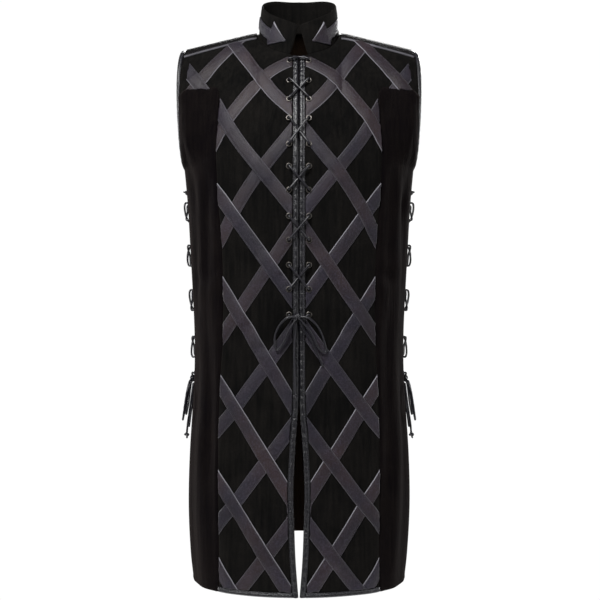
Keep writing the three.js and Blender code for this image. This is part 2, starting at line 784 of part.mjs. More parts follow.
function addCollarStrap({ side, label }) {
  const rows = arrowRows.map(({ upper, lower }) => [upper, lower].map(([turn, share]) =>
    collarSkin(side, turn, share)));
  const lift = (i) => (i < 4 ? seat.strapShaft : seat.strapHead);
  add(`collar_strap_${label}`, wall(rows, lift, (i) => lift(i) + leatherThick), colours.strip, 0.6);
}

// ---- laces ----
// A cord through hand-placed points, stepped once between each two of them.
class Route extends THREE.CatmullRomCurve3 {
  getUtoTmapping(u) {
    return u;
  }
}

function cord(points, sidesAround = 6) {
  const section = new THREE.Shape();
  for (let k = 0; k < sidesAround; k += 1) {
    const angle = (2 * Math.PI * k) / sidesAround;
    const [x, y] = [Math.cos(angle), Math.sin(angle)].map((c) => (c * lace.thick) / 2);
    if (k === 0) section.moveTo(x, y);
    else section.lineTo(x, y);
  }
  return new THREE.ExtrudeGeometry(section, {
    steps: points.length - 1,
    extrudePath: new Route(points, false, "centripetal"),
    bevelEnabled: false,
  });
}

// A point over the fronts, at a signed distance from the centre, a height and a stand-off.
function offFront([x, z, standOff]) {
  const { point, normal } = onFront(x < 0 ? -1 : 1, Math.abs(x), z);
  const place = point.addScaledVector(normal, standOff);
  place.x = x;
  return place;
}

// A point over the laced gap at one side.
const offSide = (side) => ([y, z, standOff]) =>
  new THREE.Vector3(side * (read(girths, "z", "half", z) + standOff), y, z);

// Knot, loops and free ends of the front bow, as distance from the centre, height, stand-off.
const bow = {
  knot: [-2, -509, 8.4],
  loops: [
    [[-20, -511, 11], [-34, -524, 10], [-43, -548, 8], [-39, -568, 8], [-28, -556, 9], [-17, -532, 11]],
    [[16, -511, 11], [31, -524, 11], [43, -548, 10], [47, -572, 10], [36, -566, 11], [20, -536, 12]],
  ],
  tails: [
    [[-5.5, -516.8, 5.6], [-6, -535, 5.8], [-8, -560, 6], [-8, -590, 6], [-7, -620, 6], [-6, -650, 6]],
    [[1, -516.8, 5.6], [9, -534, 5.6], [22, -553, 5.8], [33, -575, 6.3], [42, -597, 6.3]],
  ],
};

// The same for a side bow, as place along Y, height, stand-off.
const sideBow = {
  knot: [0, -629, 4.8],
  loops: [
    [[-14, -634, 9], [-24, -652, 12], [-25, -684, 15], [-18, -706, 17], [-10, -690, 16], [-6, -656, 13]],
    [[14, -634, 9], [25, -652, 12], [27, -682, 14], [20, -700, 16], [12, -684, 16], [7, -656, 13]],
  ],
  tails: [
    [[-4.5, -638, 3.1], [-9, -655, 4], [-12, -685, 6], [-12, -712, 8], [-9, -735, 9]],
    [[4.5, -638, 3.1], [9, -655, 4], [14, -680, 5], [15, -705, 7], [13, -724, 8]],
  ],
};

// One half of a lacing: in at the first hole, out at the second, across to the third, and so
// on, with its outer crossings at one height over the cloth.
function strand(holes, start, crossing, place, outside) {
  const points = [];
  holes.forEach((z, k) => {
    const way = Math.floor(k / 2) % 2 === 0 ? start : -start;
    const ends = [place(way, k, outside), place(way, k, lace.inside)];
    points.push(...(k % 2 === 0 ? ends : ends.reverse()));
    if (k % 2 === 1 && k < holes.length - 1) points.push(crossing((z + holes[k + 1]) / 2, start));
  });
  return points;
}

function addFrontLace() {
  const places = { [-1]: frontEyelets(-1), 1: frontEyelets(1) };
  const place = (way, k, standOff) => {
    const { point, normal } = places[way][k];
    return point.clone().addScaledVector(normal, standOff);
  };
  const { outside, lower, upper } = lace.front;
  const crossing = (z, start) => offFront([0, z, start < 0 ? upper : lower]);
  const [left, right] = [-1, 1].map((start) =>
    strand(eyeletHeights, start, crossing, place, outside));
  const bar = offFront([0, eyeletHeights[0] + 4, outside]);
  const [x, z, standOff] = bow.knot;
  const [first, last] = [13.9, -13.9].map((reach) => offFront([x + reach, z + 1, standOff]));
  add("front_lace", cord([first, ...left.reverse(), bar, ...right, last]), colours.lace, 0.7);
}

// A bow's knot with its two loops, as one solid, and its two free ends.
function addBow(name, { knot, loops, tails }, place) {
  const centre = place(knot);
  const ball = new THREE.OctahedronGeometry(1, 1);
  ball.scale(...(name === "front" ? [8.5, 5.4, 7] : [5.4, 8.5, 7]));
  ball.translate(centre.x, centre.y, centre.z);
  let shape = toManifold(ball);
  for (const loop of loops) {
    shape = shape.add(toManifold(cord([knot, ...loop, knot].map(place))));
  }
  add(`${name}_bow`, fromManifold(shape), colours.lace, 0.7);
  tails.forEach((tail, k) => add(`${name}_tail_${k + 1}`, cord(tail.map(place)), colours.lace, 0.7));
}

function addSideLace({ side, label }) {
  const places = {
    [-1]: sideEyeletPlaces(frontSkin, side, frontPoint),
    1: sideEyeletPlaces(backSkin, side, backPoint),
  };
  const place = (way, k, standOff) => {
    const { point, normal } = places[way][k];
    return point.clone().addScaledVector(normal, standOff);
  };
  const over = offSide(side);
  const { outside, lower, upper } = lace.side;
  const crossing = (z, start) => over([0, z, start < 0 ? upper : lower]);
  const [front, back] = [-1, 1].map((start) =>
    strand(sideEyelets, start, crossing, place, outside));
  const bar = over([0, sideEyelets[0] + 2, outside]);
  const [y, z, standOff] = sideBow.knot;
  const [first, last] = [-11, 11].map((reach) => over([y + reach, z + 3, standOff - 1.6]));
  add(`side_lace_${label}`, cord([first, ...front.reverse(), bar, ...back, last]), colours.lace, 0.7);
  addBow(`side_${label}`, sideBow, over);
}

for (const each of sides) {
  addFront(each);
  addFrontBinding(each);
  addSideFront(each);
  addStrips(each);
  addShoulderStrip(each);
  addArmholeBinding(each);
  addCollarStrap(each);
}
addBack();
addCollar();
addFrontLace();
addBow("front", bow, offFront);
sides.forEach(addSideLace);

export default vest;
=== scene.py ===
"""A long sleeveless jerkin of black suede, filled out as it is worn. Leather strips cross its two
fronts, a lace closes them over a bound edge, and two more laces join the side fronts to the back."""
import json
import math

import bpy
import numpy as np
from mathutils import Matrix, Vector
from mathutils.bvhtree import BVHTree

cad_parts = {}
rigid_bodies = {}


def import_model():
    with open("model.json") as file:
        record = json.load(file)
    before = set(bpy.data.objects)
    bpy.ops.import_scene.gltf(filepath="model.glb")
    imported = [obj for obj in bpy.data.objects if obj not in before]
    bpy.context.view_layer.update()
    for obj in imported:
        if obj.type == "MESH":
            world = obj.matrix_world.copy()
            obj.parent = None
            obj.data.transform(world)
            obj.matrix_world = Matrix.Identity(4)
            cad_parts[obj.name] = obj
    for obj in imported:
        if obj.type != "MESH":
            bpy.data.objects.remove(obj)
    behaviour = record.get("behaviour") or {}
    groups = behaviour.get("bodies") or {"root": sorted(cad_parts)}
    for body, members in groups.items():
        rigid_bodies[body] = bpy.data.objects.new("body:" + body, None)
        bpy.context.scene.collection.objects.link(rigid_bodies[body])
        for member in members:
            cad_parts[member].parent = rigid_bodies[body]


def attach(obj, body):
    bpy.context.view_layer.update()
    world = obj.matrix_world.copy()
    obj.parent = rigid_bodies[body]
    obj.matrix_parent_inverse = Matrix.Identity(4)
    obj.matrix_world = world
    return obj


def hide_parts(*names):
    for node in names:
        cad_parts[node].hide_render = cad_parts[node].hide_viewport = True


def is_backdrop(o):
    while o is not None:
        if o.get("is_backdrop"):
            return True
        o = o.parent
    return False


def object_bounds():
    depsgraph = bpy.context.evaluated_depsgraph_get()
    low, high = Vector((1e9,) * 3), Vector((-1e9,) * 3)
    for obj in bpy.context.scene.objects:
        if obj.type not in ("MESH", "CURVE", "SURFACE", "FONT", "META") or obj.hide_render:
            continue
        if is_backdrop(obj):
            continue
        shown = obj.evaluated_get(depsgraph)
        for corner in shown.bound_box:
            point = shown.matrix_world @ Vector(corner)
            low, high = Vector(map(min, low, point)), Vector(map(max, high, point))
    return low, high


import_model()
solid_box = [list(corner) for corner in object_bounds()]


# ---- Studio: camera, light and floor ----
# A white ground with a broad soft light above the front, another behind, and tall narrow lights
# at both sides. The camera stands level, facing the front at the height of the waist. The floor
# is a pale disc well below the hem.
def linear(hexadecimal):
    """The linear colour of an sRGB hex value, with full alpha."""
    parts = [int(hexadecimal[k:k + 2], 16) / 255 for k in (1, 3, 5)]
    return [c / 12.92 if c <= 0.04045 else ((c + 0.055) / 1.055) ** 2.4 for c in parts] + [1.0]


def add_node(tree, kind, inputs=None, **settings):
    """One more node in a tree, with its settings, and each input a value or another's output."""
    node = tree.nodes.new(kind)
    for name, value in settings.items():
        setattr(node, name, value)
    for name, value in (inputs or {}).items():
        if isinstance(value, bpy.types.NodeSocket):
            tree.links.new(value, node.inputs[name])
        else:
            node.inputs[name].default_value = value
    return node


def new_material(name):
    material = bpy.data.materials.new(name)
    material.use_nodes = True
    tree = material.node_tree
    tree.nodes.clear()
    return material, tree


camera_data = bpy.data.cameras.new("studio_camera")
camera_data.lens = 54.55
camera_data.sensor_width = 36
camera = bpy.data.objects.new("studio_camera", camera_data)
camera.location = (0.0018, -1.735, -0.480)
camera.rotation_euler = (math.pi / 2, 0, 0)
bpy.context.scene.collection.objects.link(camera)
bpy.context.scene.camera = camera

soft_lights = [
    # name, place, aim, width, height, watts
    ("key_light", (-0.9, -2.4, 1.9), (0, 0, -0.35), 1.6, 1.0, 300),
    ("fill_light_left", (-2.6, -1.4, -0.3), (0, 0, -0.5), 0.6, 2.4, 34),
    ("fill_light_right", (2.6, -1.4, -0.1), (0, 0, -0.5), 0.6, 2.4, 40),
    ("back_light", (0.5, 2.7, 1.3), (0, 0, -0.4), 2.2, 1.4, 330),
    ("back_strip_left", (-2.5, 1.3, -0.2), (0, 0, -0.5), 0.6, 2.4, 90),
    ("back_strip_right", (2.5, 1.5, 0.0), (0, 0, -0.5), 0.6, 2.4, 100),
]
for name, place, aim, width, height, watts in soft_lights:
    light = bpy.data.lights.new(name, "AREA")
    light.shape = "RECTANGLE"
    light.size, light.size_y, light.energy = width, height, watts
    lamp = bpy.data.objects.new(name, light)
    lamp.location = place
    lamp.rotation_euler = (Vector(aim) - Vector(place)).to_track_quat("-Z", "Y").to_euler()
    bpy.context.scene.collection.objects.link(lamp)

world = bpy.data.worlds.new("white_sweep")
world.use_nodes = True
# White to the camera, but dimmer as a light, so that black leather keeps its highlights.
seen = add_node(world.node_tree, "ShaderNodeLightPath")
level = add_node(world.node_tree, "ShaderNodeMapRange", {
    "Value": seen.outputs["Is Camera Ray"], "To Min": 0.3, "To Max": 1.02})
background = world.node_tree.nodes["Background"]
background.inputs["Color"].default_value = (1.0, 1.0, 1.0, 1.0)
world.node_tree.links.new(level.outputs["Result"], background.inputs["Strength"])
bpy.context.scene.world = world
bpy.context.scene.view_settings.view_transform = "Standard"

floor_material, tree = new_material("matt_white_floor")
shader = add_node(tree, "ShaderNodeBsdfPrincipled", {
    "Base Color": linear("#f4f4f3"), "Roughness": 0.9, "Specular IOR Level": 0.1})
add_node(tree, "ShaderNodeOutputMaterial", {"Surface": shader.outputs["BSDF"]})
floor_mesh = bpy.data.meshes.new("studio_floor")
floor_radius, floor_height, floor_sides = 0.9, -1.46, 96
turns = np.linspace(0, 2 * math.pi, floor_sides, endpoint=False)
rim = [(floor_radius * math.cos(t), floor_radius * math.sin(t), floor_height) for t in turns]
floor_mesh.from_pydata(rim, [], [tuple(range(floor_sides))])
floor_mesh.materials.append(floor_material)
studio_floor = bpy.data.objects.new("studio_floor", floor_mesh)
bpy.context.scene.collection.objects.link(studio_floor)
studio_floor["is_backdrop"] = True


# ---- The form it is worn in ----
# Every piece lies on one filled-out surface: an oval trunk up to the armpits, then columns that
# close over the shoulders. u runs from the centre to the side, and heights are in millimetres.
# Pieces use one set of soft troughs too, so that strips, bindings and suede fold together.
hem_line, armpit, yoke_line = -1005.0, -233.0, -92.0
side_gap, neck_half_width = 5.0, 76.0
shoulder_tip = np.array([213.0, 0.0, -6.0])
neck_share, front_lap, lap_end, seam_gap = 0.27, 10.5, 0.035, 0.3
suede_thick = 2.0

# Half width, reach of front and back, and where the seam beside the lattice lies, by height.
girths = {
    "z": [-1005, -957, -862, -766, -633, -545, -385, -300, -233],
    "half": [199, 204, 208, 206, 198, 198, 206, 211, 217],
    "front": [135, 135, 134, 131, 127, 126, 131, 134, 134],
    "back": [134, 135, 134, 128, 114, 110, 118, 124, 128],
    "seam": [145, 145, 145, 145, 143, 138, 139, 146, 149],
}
# Half of the slit between the fronts: laced shut above, falling open below.
slits = {
    "z": [-1005, -938, -885, -814, -726, -655, -560, 0],
    "half": [1, 6, 8, 9.5, 5.3, 0.3, 0.3, 0.3],
}
# Stand collar, from the centre front (0 degrees) to the centre back (180).
collar_rows = {
    "turn": [0, 45, 90, 135, 180],
    "base": [-37, -14, 27, 41, 46],
    "top": [26, 51, 82, 103, 107],
}
front_face = {"sign": -1, "depth": "front", "neck": 75, "arm": 88, "shoulder": 72, "drop": 50}
back_face = {"sign": 1, "depth": "back", "neck": 62, "arm": 80, "shoulder": 66, "drop": 12}


def lerp(a, b, t):
    return a + (b - a) * t


def smooth(low, high, x):
    t = np.clip((np.asarray(x, float) - low) / (high - low), 0, 1)
    return t * t * (3 - 2 * t)


def read(table, key, column, x):
    """A smooth curve through one column of a table whose key column grows."""
    keys, values = np.array(table[key], float), np.array(table[column], float)
    last = len(keys) - 1
    ahead, behind = np.minimum(np.arange(last + 1) + 1, last), np.maximum(np.arange(last + 1) - 1, 0)
    slopes = (values[ahead] - values[behind]) / (keys[ahead] - keys[behind])
    i = np.clip(np.searchsorted(keys, x) - 1, 0, last - 1)
    width = keys[i + 1] - keys[i]
    t = np.clip((x - keys[i]) / width, 0, 1)
    share = t * t * (3 - 2 * t)
    bend = t * (1 - t) ** 2 * width * slopes[i] + t * t * (t - 1) * width * slopes[i + 1]
    return lerp(values[i], values[i + 1], share) + bend


def points(x, y, z):
    return np.stack(np.broadcast_arrays(x, y, z), axis=-1).astype(float)


def bezier(controls, t):
    t = np.asarray(t, float)[..., None]
    a, b, c, d = controls
    r = 1 - t
    return r ** 3 * a + 3 * r * r * t * b + 3 * r * t * t * c + t ** 3 * d


def bisect(low, high, is_below, like):
    """Halving search at every place of an array at once."""
    low, high = np.full(np.shape(like), float(low)), np.full(np.shape(like), float(high))
    for _ in range(26):
        middle = (low + high) / 2
        below = is_below(middle)
        low, high = np.where(below, middle, low), np.where(below, high, middle)
    return (low + high) / 2


def quarter(face, z):
    """Control points of a quarter of the trunk's ring, from the centre line to the side edge."""
    half, reach = read(girths, "z", "half", z), read(girths, "z", face["depth"], z)
    sign = face["sign"]
    return [points(0, sign * reach, z), points(0.62 * half, sign * reach, z),
            points(half, sign * 0.62 * reach, z), points(half, sign * side_gap, z)]


# For each face, the curve parameter at which a share of a ring's length is reached.
level_step, ring_steps = 4.0, 240
ring_levels = np.arange(hem_line, armpit + 1, level_step)
ring_shares = np.linspace(0, 1, ring_steps + 1)
for face in (front_face, back_face):
    fine = np.linspace(0, 1, 321)
    controls = [c[:, None, :] for c in quarter(face, ring_levels)]
    lengths = np.linalg.norm(np.diff(bezier(controls, fine[None, :]), axis=1), axis=2).cumsum(axis=1)
    lengths = np.hstack([np.zeros((len(ring_levels), 1)), lengths])
    face["parameters"] = np.array([np.interp(ring_shares * row[-1], row, fine) for row in lengths])


def ring_point(face, z, share):
    z, share = np.broadcast_arrays(np.asarray(z, float), np.clip(share, 0, 1))
    row = np.clip((z - ring_levels[0]) / level_step, 0, len(ring_levels) - 1.001)
    column = np.clip(share * ring_steps, 0, ring_steps - 0.001)
    i, j = row.astype(int), column.astype(int)
    table, down, along = face["parameters"], row - i, column - j
    t = lerp(lerp(table[i, j], table[i, j + 1], along),
             lerp(table[i + 1, j], table[i + 1, j + 1], along), down)
    return bezier(quarter(face, z), t)


def top_edge(face, share):
    """The upper edge of a half front or back: the neckline, then the shoulder seam."""
    share = np.asarray(share, float)
    t = np.clip((share - neck_share) / (1 - neck_share), 0, 1)
    ridge = read(collar_rows, "turn", "base", 90.0)
    shoulder = points(lerp(neck_half_width, shoulder_tip[0], t), 0, lerp(ridge, shoulder_tip[2], t))
    angle = np.clip(share / neck_share, 0, 1) * 90
    base = read(collar_rows, "turn", "base", angle if face["sign"] < 0 else 180 - angle)
    neckline = points(neck_half_width * np.sin(np.radians(angle)),
                      face["sign"] * face["neck"] * np.cos(np.radians(angle)), base)
    return np.where((share >= neck_share)[..., None], shoulder, neckline)


def column(face, share):
    """Control points of the surface's rise from the armpits' level to its upper edge."""
    foot, top = ring_point(face, armpit, share), top_edge(face, share)
    rise = foot - ring_point(face, armpit - 10, share)
    rise /= np.linalg.norm(rise, axis=-1, keepdims=True)
    third = (top - foot)[..., 2:] / 3
    arm = smooth(0.55, 1, share)[..., None]
    neck = 1 - smooth(0, neck_share * 1.4, share)
    around_arm = np.array([5.0, face["sign"] * face["arm"], 12.0])
    lower = foot + rise * third * (1 - arm) + around_arm * arm
    reach, drop = lerp(face["shoulder"], 28, neck), lerp(7, face["drop"], neck)
    return [foot, lower, top + points(9 * arm[..., 0], face["sign"] * reach, -drop), top]


def half_point(face, share, height):
    """Surface point of one half. Heights above the yoke share out what is left of a column."""
    share, height = np.broadcast_arrays(np.asarray(share, float), np.asarray(height, float))
    controls = column(face, share)
    level = np.clip(height, armpit, yoke_line)
    t = bisect(0, 1, lambda k: bezier(controls, k)[..., 2] < level, share)
    t = np.where(height > yoke_line, lerp(t, 1, 1 - height / yoke_line), t)
    trunk = ring_point(face, np.minimum(height, armpit), share)
    return np.where((height > armpit)[..., None], bezier(controls, t), trunk)


# Shares of the front at which its edge binding and its lattice panel end, by height.
share_levels = np.arange(hem_line, 1, 6.0)
lap_shares = bisect(0, 0.2, lambda s: half_point(front_face, s, share_levels)[..., 0] < front_lap,
                    share_levels)
seam_levels = np.minimum(share_levels, armpit)
seam_goal = read(girths, "z", "seam", seam_levels)
seam_shares = bisect(0, 1, lambda s: ring_point(front_face, seam_levels, s)[..., 0] < seam_goal,
                     seam_levels)


def front_share(u, height):
    lap, seam = (np.interp(height, share_levels, shares) for shares in (lap_shares, seam_shares))
    inner = lerp(lap, seam, (u - lap_end) / (0.5 - lap_end))
    outer = np.where(u < 0.5, inner, lerp(seam, 1, 2 * u - 1))
    return np.where(u < lap_end, u / lap_end * lap, outer)


def front_point(u, height):
    point = half_point(front_face, front_share(u, height), height)
    slit = np.maximum(read(slits, "z", "half", height), seam_gap)
    point[..., 0] += slit * (1 - smooth(0, 0.5, u))
    return point


def back_point(u, height):
    """The back's hem is higher than the front's, and highest at its centre."""
    squeeze_from, hem_at_centre, hem_at_side = -700.0, -954.0, -986.0
    hem = lerp(hem_at_centre, hem_at_side, u * u)
    stretch = (hem - squeeze_from) / (hem_line - squeeze_from)
    below = np.minimum(height - squeeze_from, 0)
    return half_point(back_face, u, np.maximum(height, squeeze_from) + below * stretch)


# Troughs of the worn suede, in millimetres; across is measured along the surface.
front_troughs = [
    # from: across, height; to: across, height; half width, depth
    (168, -250, 196, -470, 13, 2.6),
    (196, -470, 178, -800, 16, 2.4),
    (228, -240, 236, -520, 12, 2.8),
    (250, -560, 232, -1010, 20, 4.2),
    (176, -700, 170, -1010, 17, 3.4),
    (262, -180, 205, -330, 12, 2.4),
    (120, -640, 96, -1010, 26, 3.0),
    (40, -560, 66, -1000, 24, 2.2),
    (60, -520, 150, -560, 14, 1.6),
    (150, -420, 240, -455, 13, 1.8),
    (92, -120, 118, -300, 24, 2.2),
    (200, -60, 120, -210, 15, 1.8),
    (30, -200, 70, -420, 22, 1.2),
]
back_troughs = [
    (60, -120, 92, -420, 26, 3.0),
    (150, -60, 190, -300, 18, 3.2),
    (228, -250, 214, -560, 15, 3.2),
    (120, -420, 236, -500, 16, 2.6),
    (20, -470, 150, -560, 16, 2.4),
    (96, -600, 76, -1010, 26, 5.0),
    (180, -620, 196, -1010, 22, 4.6),
    (30, -700, 22, -1010, 24, 3.0),
    (250, -600, 262, -1010, 16, 3.0),
]


def trough_depth(table, side, across, height):
    """How far the worn surface lies in, in millimetres; the two sides differ a little."""
    depth = np.zeros(np.broadcast(across, height).shape)
    for number, (a0, z0, a1, z1, width, deep) in enumerate(table):
        turn = 1.7 * number + (0.9 if side > 0 else 0.0)
        a0, a1 = a0 + 6 * math.sin(turn), a1 + 9 * math.cos(1.3 * turn)
        run = np.array([a1 - a0, z1 - z0])
        t = ((across - a0) * run[0] + (height - z0) * run[1]) / (run @ run)
        wander = 5 * np.sin(t * 5 + turn)
        away = ((across - a0) * run[1] - (height - z0) * run[0]) / np.linalg.norm(run) + wander
        fade = smooth(-0.12, 0.25, t) * (1 - smooth(0.7, 1.15, t))
        uneven = deep * (0.8 + 0.25 * np.sin(3.1 * turn + 4 * t))
        ridge = 0.45 * np.exp(-((np.abs(away) - 1.9 * width) / width) ** 2)
        depth += fade * uneven * (np.exp(-(away / width) ** 2) - ridge)
    return depth


ring_span = 300.0  # mm from the centre to the side edge, roughly, on either face


def skin(point_at, facing, troughs):
    """A function giving points and outward normals at (side, u, height), troughs included."""
    def worn(side, u, height):
        u, height = np.broadcast_arrays(np.asarray(u, float), np.asarray(height, float))
        across = point_at(np.minimum(u + 0.012, 1), height) - point_at(np.maximum(u - 0.012, 0), height)
        rise = point_at(u, np.minimum(height + 5, 0)) - point_at(u, np.maximum(height - 5, hem_line))
        normal = facing * np.cross(across, rise)
        normal /= np.linalg.norm(normal, axis=-1, keepdims=True)
        normal[..., 0] *= side * smooth(0, 0.08, u)
        normal /= np.linalg.norm(normal, axis=-1, keepdims=True)
        point = point_at(u, height)
        point[..., 0] *= side
        dip = trough_depth(troughs, side, u * ring_span, height)
        calm = smooth(0, -30, height) * smooth(0, 0.05, u) * (1 - 0.6 * smooth(0.93, 1, u))
        return point - normal * (dip * calm)[..., None], normal
    return worn


front_skin = skin(front_point, 1, front_troughs)
back_skin = skin(back_point, -1, back_troughs)


# ---- Lattice fronts: suede panels ----
# Black split suede, 2 mm thick, its nap brushed into soft lighter and darker patches, with painted
# sheen in vertical streaks and painted shade where its creases and nap sink. Each front is one panel
# from the bound front edge to the side seam, with a yoke that runs under the side front to the
# shoulder. It is made from its points on the worn form, its thickness inwards.
def suede(name, base, patch, sheen_tint, nap_mm, sheen, crease_share):
    """Split leather with a short brushed nap: no gloss, but a faint edge glow and dull patches."""
    material, tree = new_material(name)
    place = add_node(tree, "ShaderNodeTexCoord")
    brushed = add_node(tree, "ShaderNodeTexNoise", {
        "Vector": place.outputs["Object"], "Scale": 14.0, "Detail": 4.0, "Roughness": 0.6,
        "Distortion": 0.6})
    # Strokes of the brush run down the piece, so this noise is stretched along it. It sinks the
    # surface in creases and lightens the colour on its ridges: painted sheen streaks and painted shade.
    down = add_node(tree, "ShaderNodeMapping", {"Vector": place.outputs["Object"],
        "Scale": (170.0, 170.0, 11.0)})
    crease_and_sheen_streaks = add_node(tree, "ShaderNodeTexNoise", {
        "Vector": down.outputs["Vector"], "Scale": 1.0, "Detail": 3.0, "Roughness": 0.6})
    # The nap's real fibres are 0.3 mm apart; they are drawn coarser so that they show at all.
    nap = add_node(tree, "ShaderNodeTexNoise", {
        "Vector": place.outputs["Object"], "Scale": 1000 / nap_mm, "Detail": 5.0, "Roughness": 0.75})
    both = add_node(tree, "ShaderNodeMath", {0: brushed.outputs["Fac"], 1: crease_and_sheen_streaks.outputs["Fac"]},
                    operation="ADD")
    # Lighter patches: the brushed noise is random tone, and the stretched streaks add painted sheen.
    patches_and_sheen_streaks = add_node(tree, "ShaderNodeMapRange", {
        "Value": both.outputs["Value"], "From Min": 0.78, "From Max": 1.24})
    colour = add_node(tree, "ShaderNodeMix", {
        "Factor": patches_and_sheen_streaks.outputs["Result"], 6: linear(base), 7: linear(patch)}, data_type="RGBA")
    # The nap noise darkens the colour where its bump sinks: painted shade in the nap's hollows, over
    # the fibres' uneven tone.
    nap_tone_and_shade = add_node(tree, "ShaderNodeMapRange", {
        "Value": nap.outputs["Fac"], "From Min": 0.35, "From Max": 0.7,
        "To Min": 0.4, "To Max": 1.5})
    shaded = add_node(tree, "ShaderNodeVectorMath", {
        0: colour.outputs[2], "Scale": nap_tone_and_shade.outputs["Result"]}, operation="SCALE")
    rough = add_node(tree, "ShaderNodeMapRange", {
        "Value": brushed.outputs["Fac"], "To Min": 0.82, "To Max": 1.0})
    creased = add_node(tree, "ShaderNodeMath", {
        0: crease_and_sheen_streaks.outputs["Fac"], 1: crease_share, 2: nap.outputs["Fac"]}, operation="MULTIPLY_ADD")
    bump = add_node(tree, "ShaderNodeBump", {
        "Height": creased.outputs["Value"], "Strength": 0.6, "Distance": 0.0007})
    shader = add_node(tree, "ShaderNodeBsdfPrincipled", {
        "Base Color": shaded.outputs["Vector"], "Roughness": rough.outputs["Result"],
        "Normal": bump.outputs["Normal"], "Specular IOR Level": 0.02, "Sheen Weight": sheen,
        "Sheen Roughness": 0.55, "Sheen Tint": linear(sheen_tint)})
    add_node(tree, "ShaderNodeOutputMaterial", {"Surface": shader.outputs["BSDF"]})
    return material


black_suede = suede("black_suede", "#040404", "#0c0b0a", "#4a4542", 1.6, 0.1, 0.6)
brown_black_suede = suede("brown_black_suede", "#030203", "#080606", "#483c37", 1.6, 0.1, 3.2)
flesh_side = suede("suede_flesh_side", "#060302", "#0b0603", "#3a2a20", 2.2, 0.05, 0.6)


def add_piece(name, verts, faces, materials, nodes, uvs, marks=None, attributes=None):
    """One mesh on the vest's body, from points in millimetres. marks gives each face's material."""
    mesh = bpy.data.meshes.new(name)
    mesh.from_pydata((np.asarray(verts) / 1000).tolist(), [], [tuple(map(int, f)) for f in faces])
    for material in materials:
        mesh.materials.append(material)
    if marks is not None:
        mesh.polygons.foreach_set("material_index", np.asarray(marks, np.int32))
    layer = mesh.uv_layers.new(name="UVMap")
    corners = np.empty(len(mesh.loops), np.int32)
    mesh.loops.foreach_get("vertex_index", corners)
    layer.uv.foreach_set("vector", np.asarray(uvs, np.float32)[corners].ravel())
    for label, values in (attributes or {}).items():
        layer = mesh.attributes.new(label, "FLOAT", "POINT")
        layer.data.foreach_set("value", np.asarray(values, np.float32))
    mesh.shade_smooth()
    piece = bpy.data.objects.new(name, mesh)
    bpy.context.scene.collection.objects.link(piece)
    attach(piece, "root")
    if nodes:
        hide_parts(*nodes)
    return piece


def shell(outer, inner, keep=None, wrap=False):
    """A closed wall between two grids of points: its vertices, faces and each face's side (0 for
    outer, 1 for inner, 2 for edge). keep says which cells exist; wrap joins last row to first."""
    outer, inner = np.asarray(outer), np.asarray(inner)
    rows, width = outer.shape[:2]
    cell_rows = rows if wrap else rows - 1
    keep = np.ones((cell_rows, width - 1), bool) if keep is None else np.asarray(keep)
    i, j = np.nonzero(keep)
    corner = lambda i, j: (i % rows) * width + j
    top = np.stack([corner(i, j), corner(i, j + 1), corner(i + 1, j + 1), corner(i + 1, j)], axis=1)
    under = top[:, ::-1] + rows * width
    edges = []
    for di, dj, a, b in ((-1, 0, (0, 0), (0, 1)), (1, 0, (1, 1), (1, 0)),
                         (0, -1, (1, 0), (0, 0)), (0, 1, (0, 1), (1, 1))):
        ni, nj = i + di, j + dj
        if wrap:
            ni = ni % cell_rows
        inside = (ni >= 0) & (ni < cell_rows) & (nj >= 0) & (nj < width - 1)
        has = np.zeros(len(i), bool)
        has[inside] = keep[ni[inside], nj[inside]]
        p, q = corner(i + a[0], j + a[1])[~has], corner(i + b[0], j + b[1])[~has]
        edges.append(np.stack([q, p, p + rows * width, q + rows * width], axis=1))
    edge = np.concatenate(edges)
    faces = np.concatenate([top, under, edge])
    sides = np.concatenate([np.zeros(len(top)), np.ones(len(under)), np.full(len(edge), 2)])
    verts = np.concatenate([outer.reshape(-1, 3), inner.reshape(-1, 3)])
    used, renumbered = np.unique(faces, return_inverse=True)
    faces = renumbered.reshape(faces.shape)
    verts = verts[used]
    # The quads must face outwards: the outer grid's may wind either way.
    a, b, c = verts[faces[:, 0]], verts[faces[:, 1]], verts[faces[:, 2]]
    d = verts[faces[:, 3]]
    volume = np.einsum("ij,ij->i", a, np.cross(b, c) + np.cross(c, d)).sum()
    return verts, faces if volume > 0 else faces[:, ::-1], sides, used


def grid_uv(outer, used):
    """Distances across and along a grid of points, in metres, for each of a shell's vertices."""
    across = np.linalg.norm(np.diff(outer, axis=1), axis=2).cumsum(axis=1)
    along = np.linalg.norm(np.diff(outer, axis=0), axis=2).cumsum(axis=0)
    flat = np.zeros(outer.shape[:2] + (2,))
    flat[:, 1:, 0] = across / 1000
    flat[1:, :, 1] = along / 1000
    flat = flat.reshape(-1, 2)
    return np.concatenate([flat, flat])[used]


def arch(u):
    """Height of the side front's upper edge: an arch from the side seam up and over the yoke."""
    rise = np.sqrt(np.clip(1 - (1 - np.clip((u - 0.5) / 0.075, 0, 1)) ** 2, 0, 1))
    return yoke_line - 28 * (1 - rise) - 9 * smooth(0.86, 1.0, u)


def hem_bead(height):
    """The slight swelling over a turned-up hem."""
    return 0.8 * np.exp(-((height - hem_line - 5) / 3.0) ** 2)


def sewn_panel(name, outer, normal, face_material, node, keep=None):
    """A suede panel from its outer points, with the flesh side inwards."""
    verts, faces, facing, used = shell(outer, outer - normal * suede_thick, keep)
    panel = add_piece(name, verts, faces, [face_material, flesh_side], [node],
                      grid_uv(outer, used), (facing == 1).astype(int))


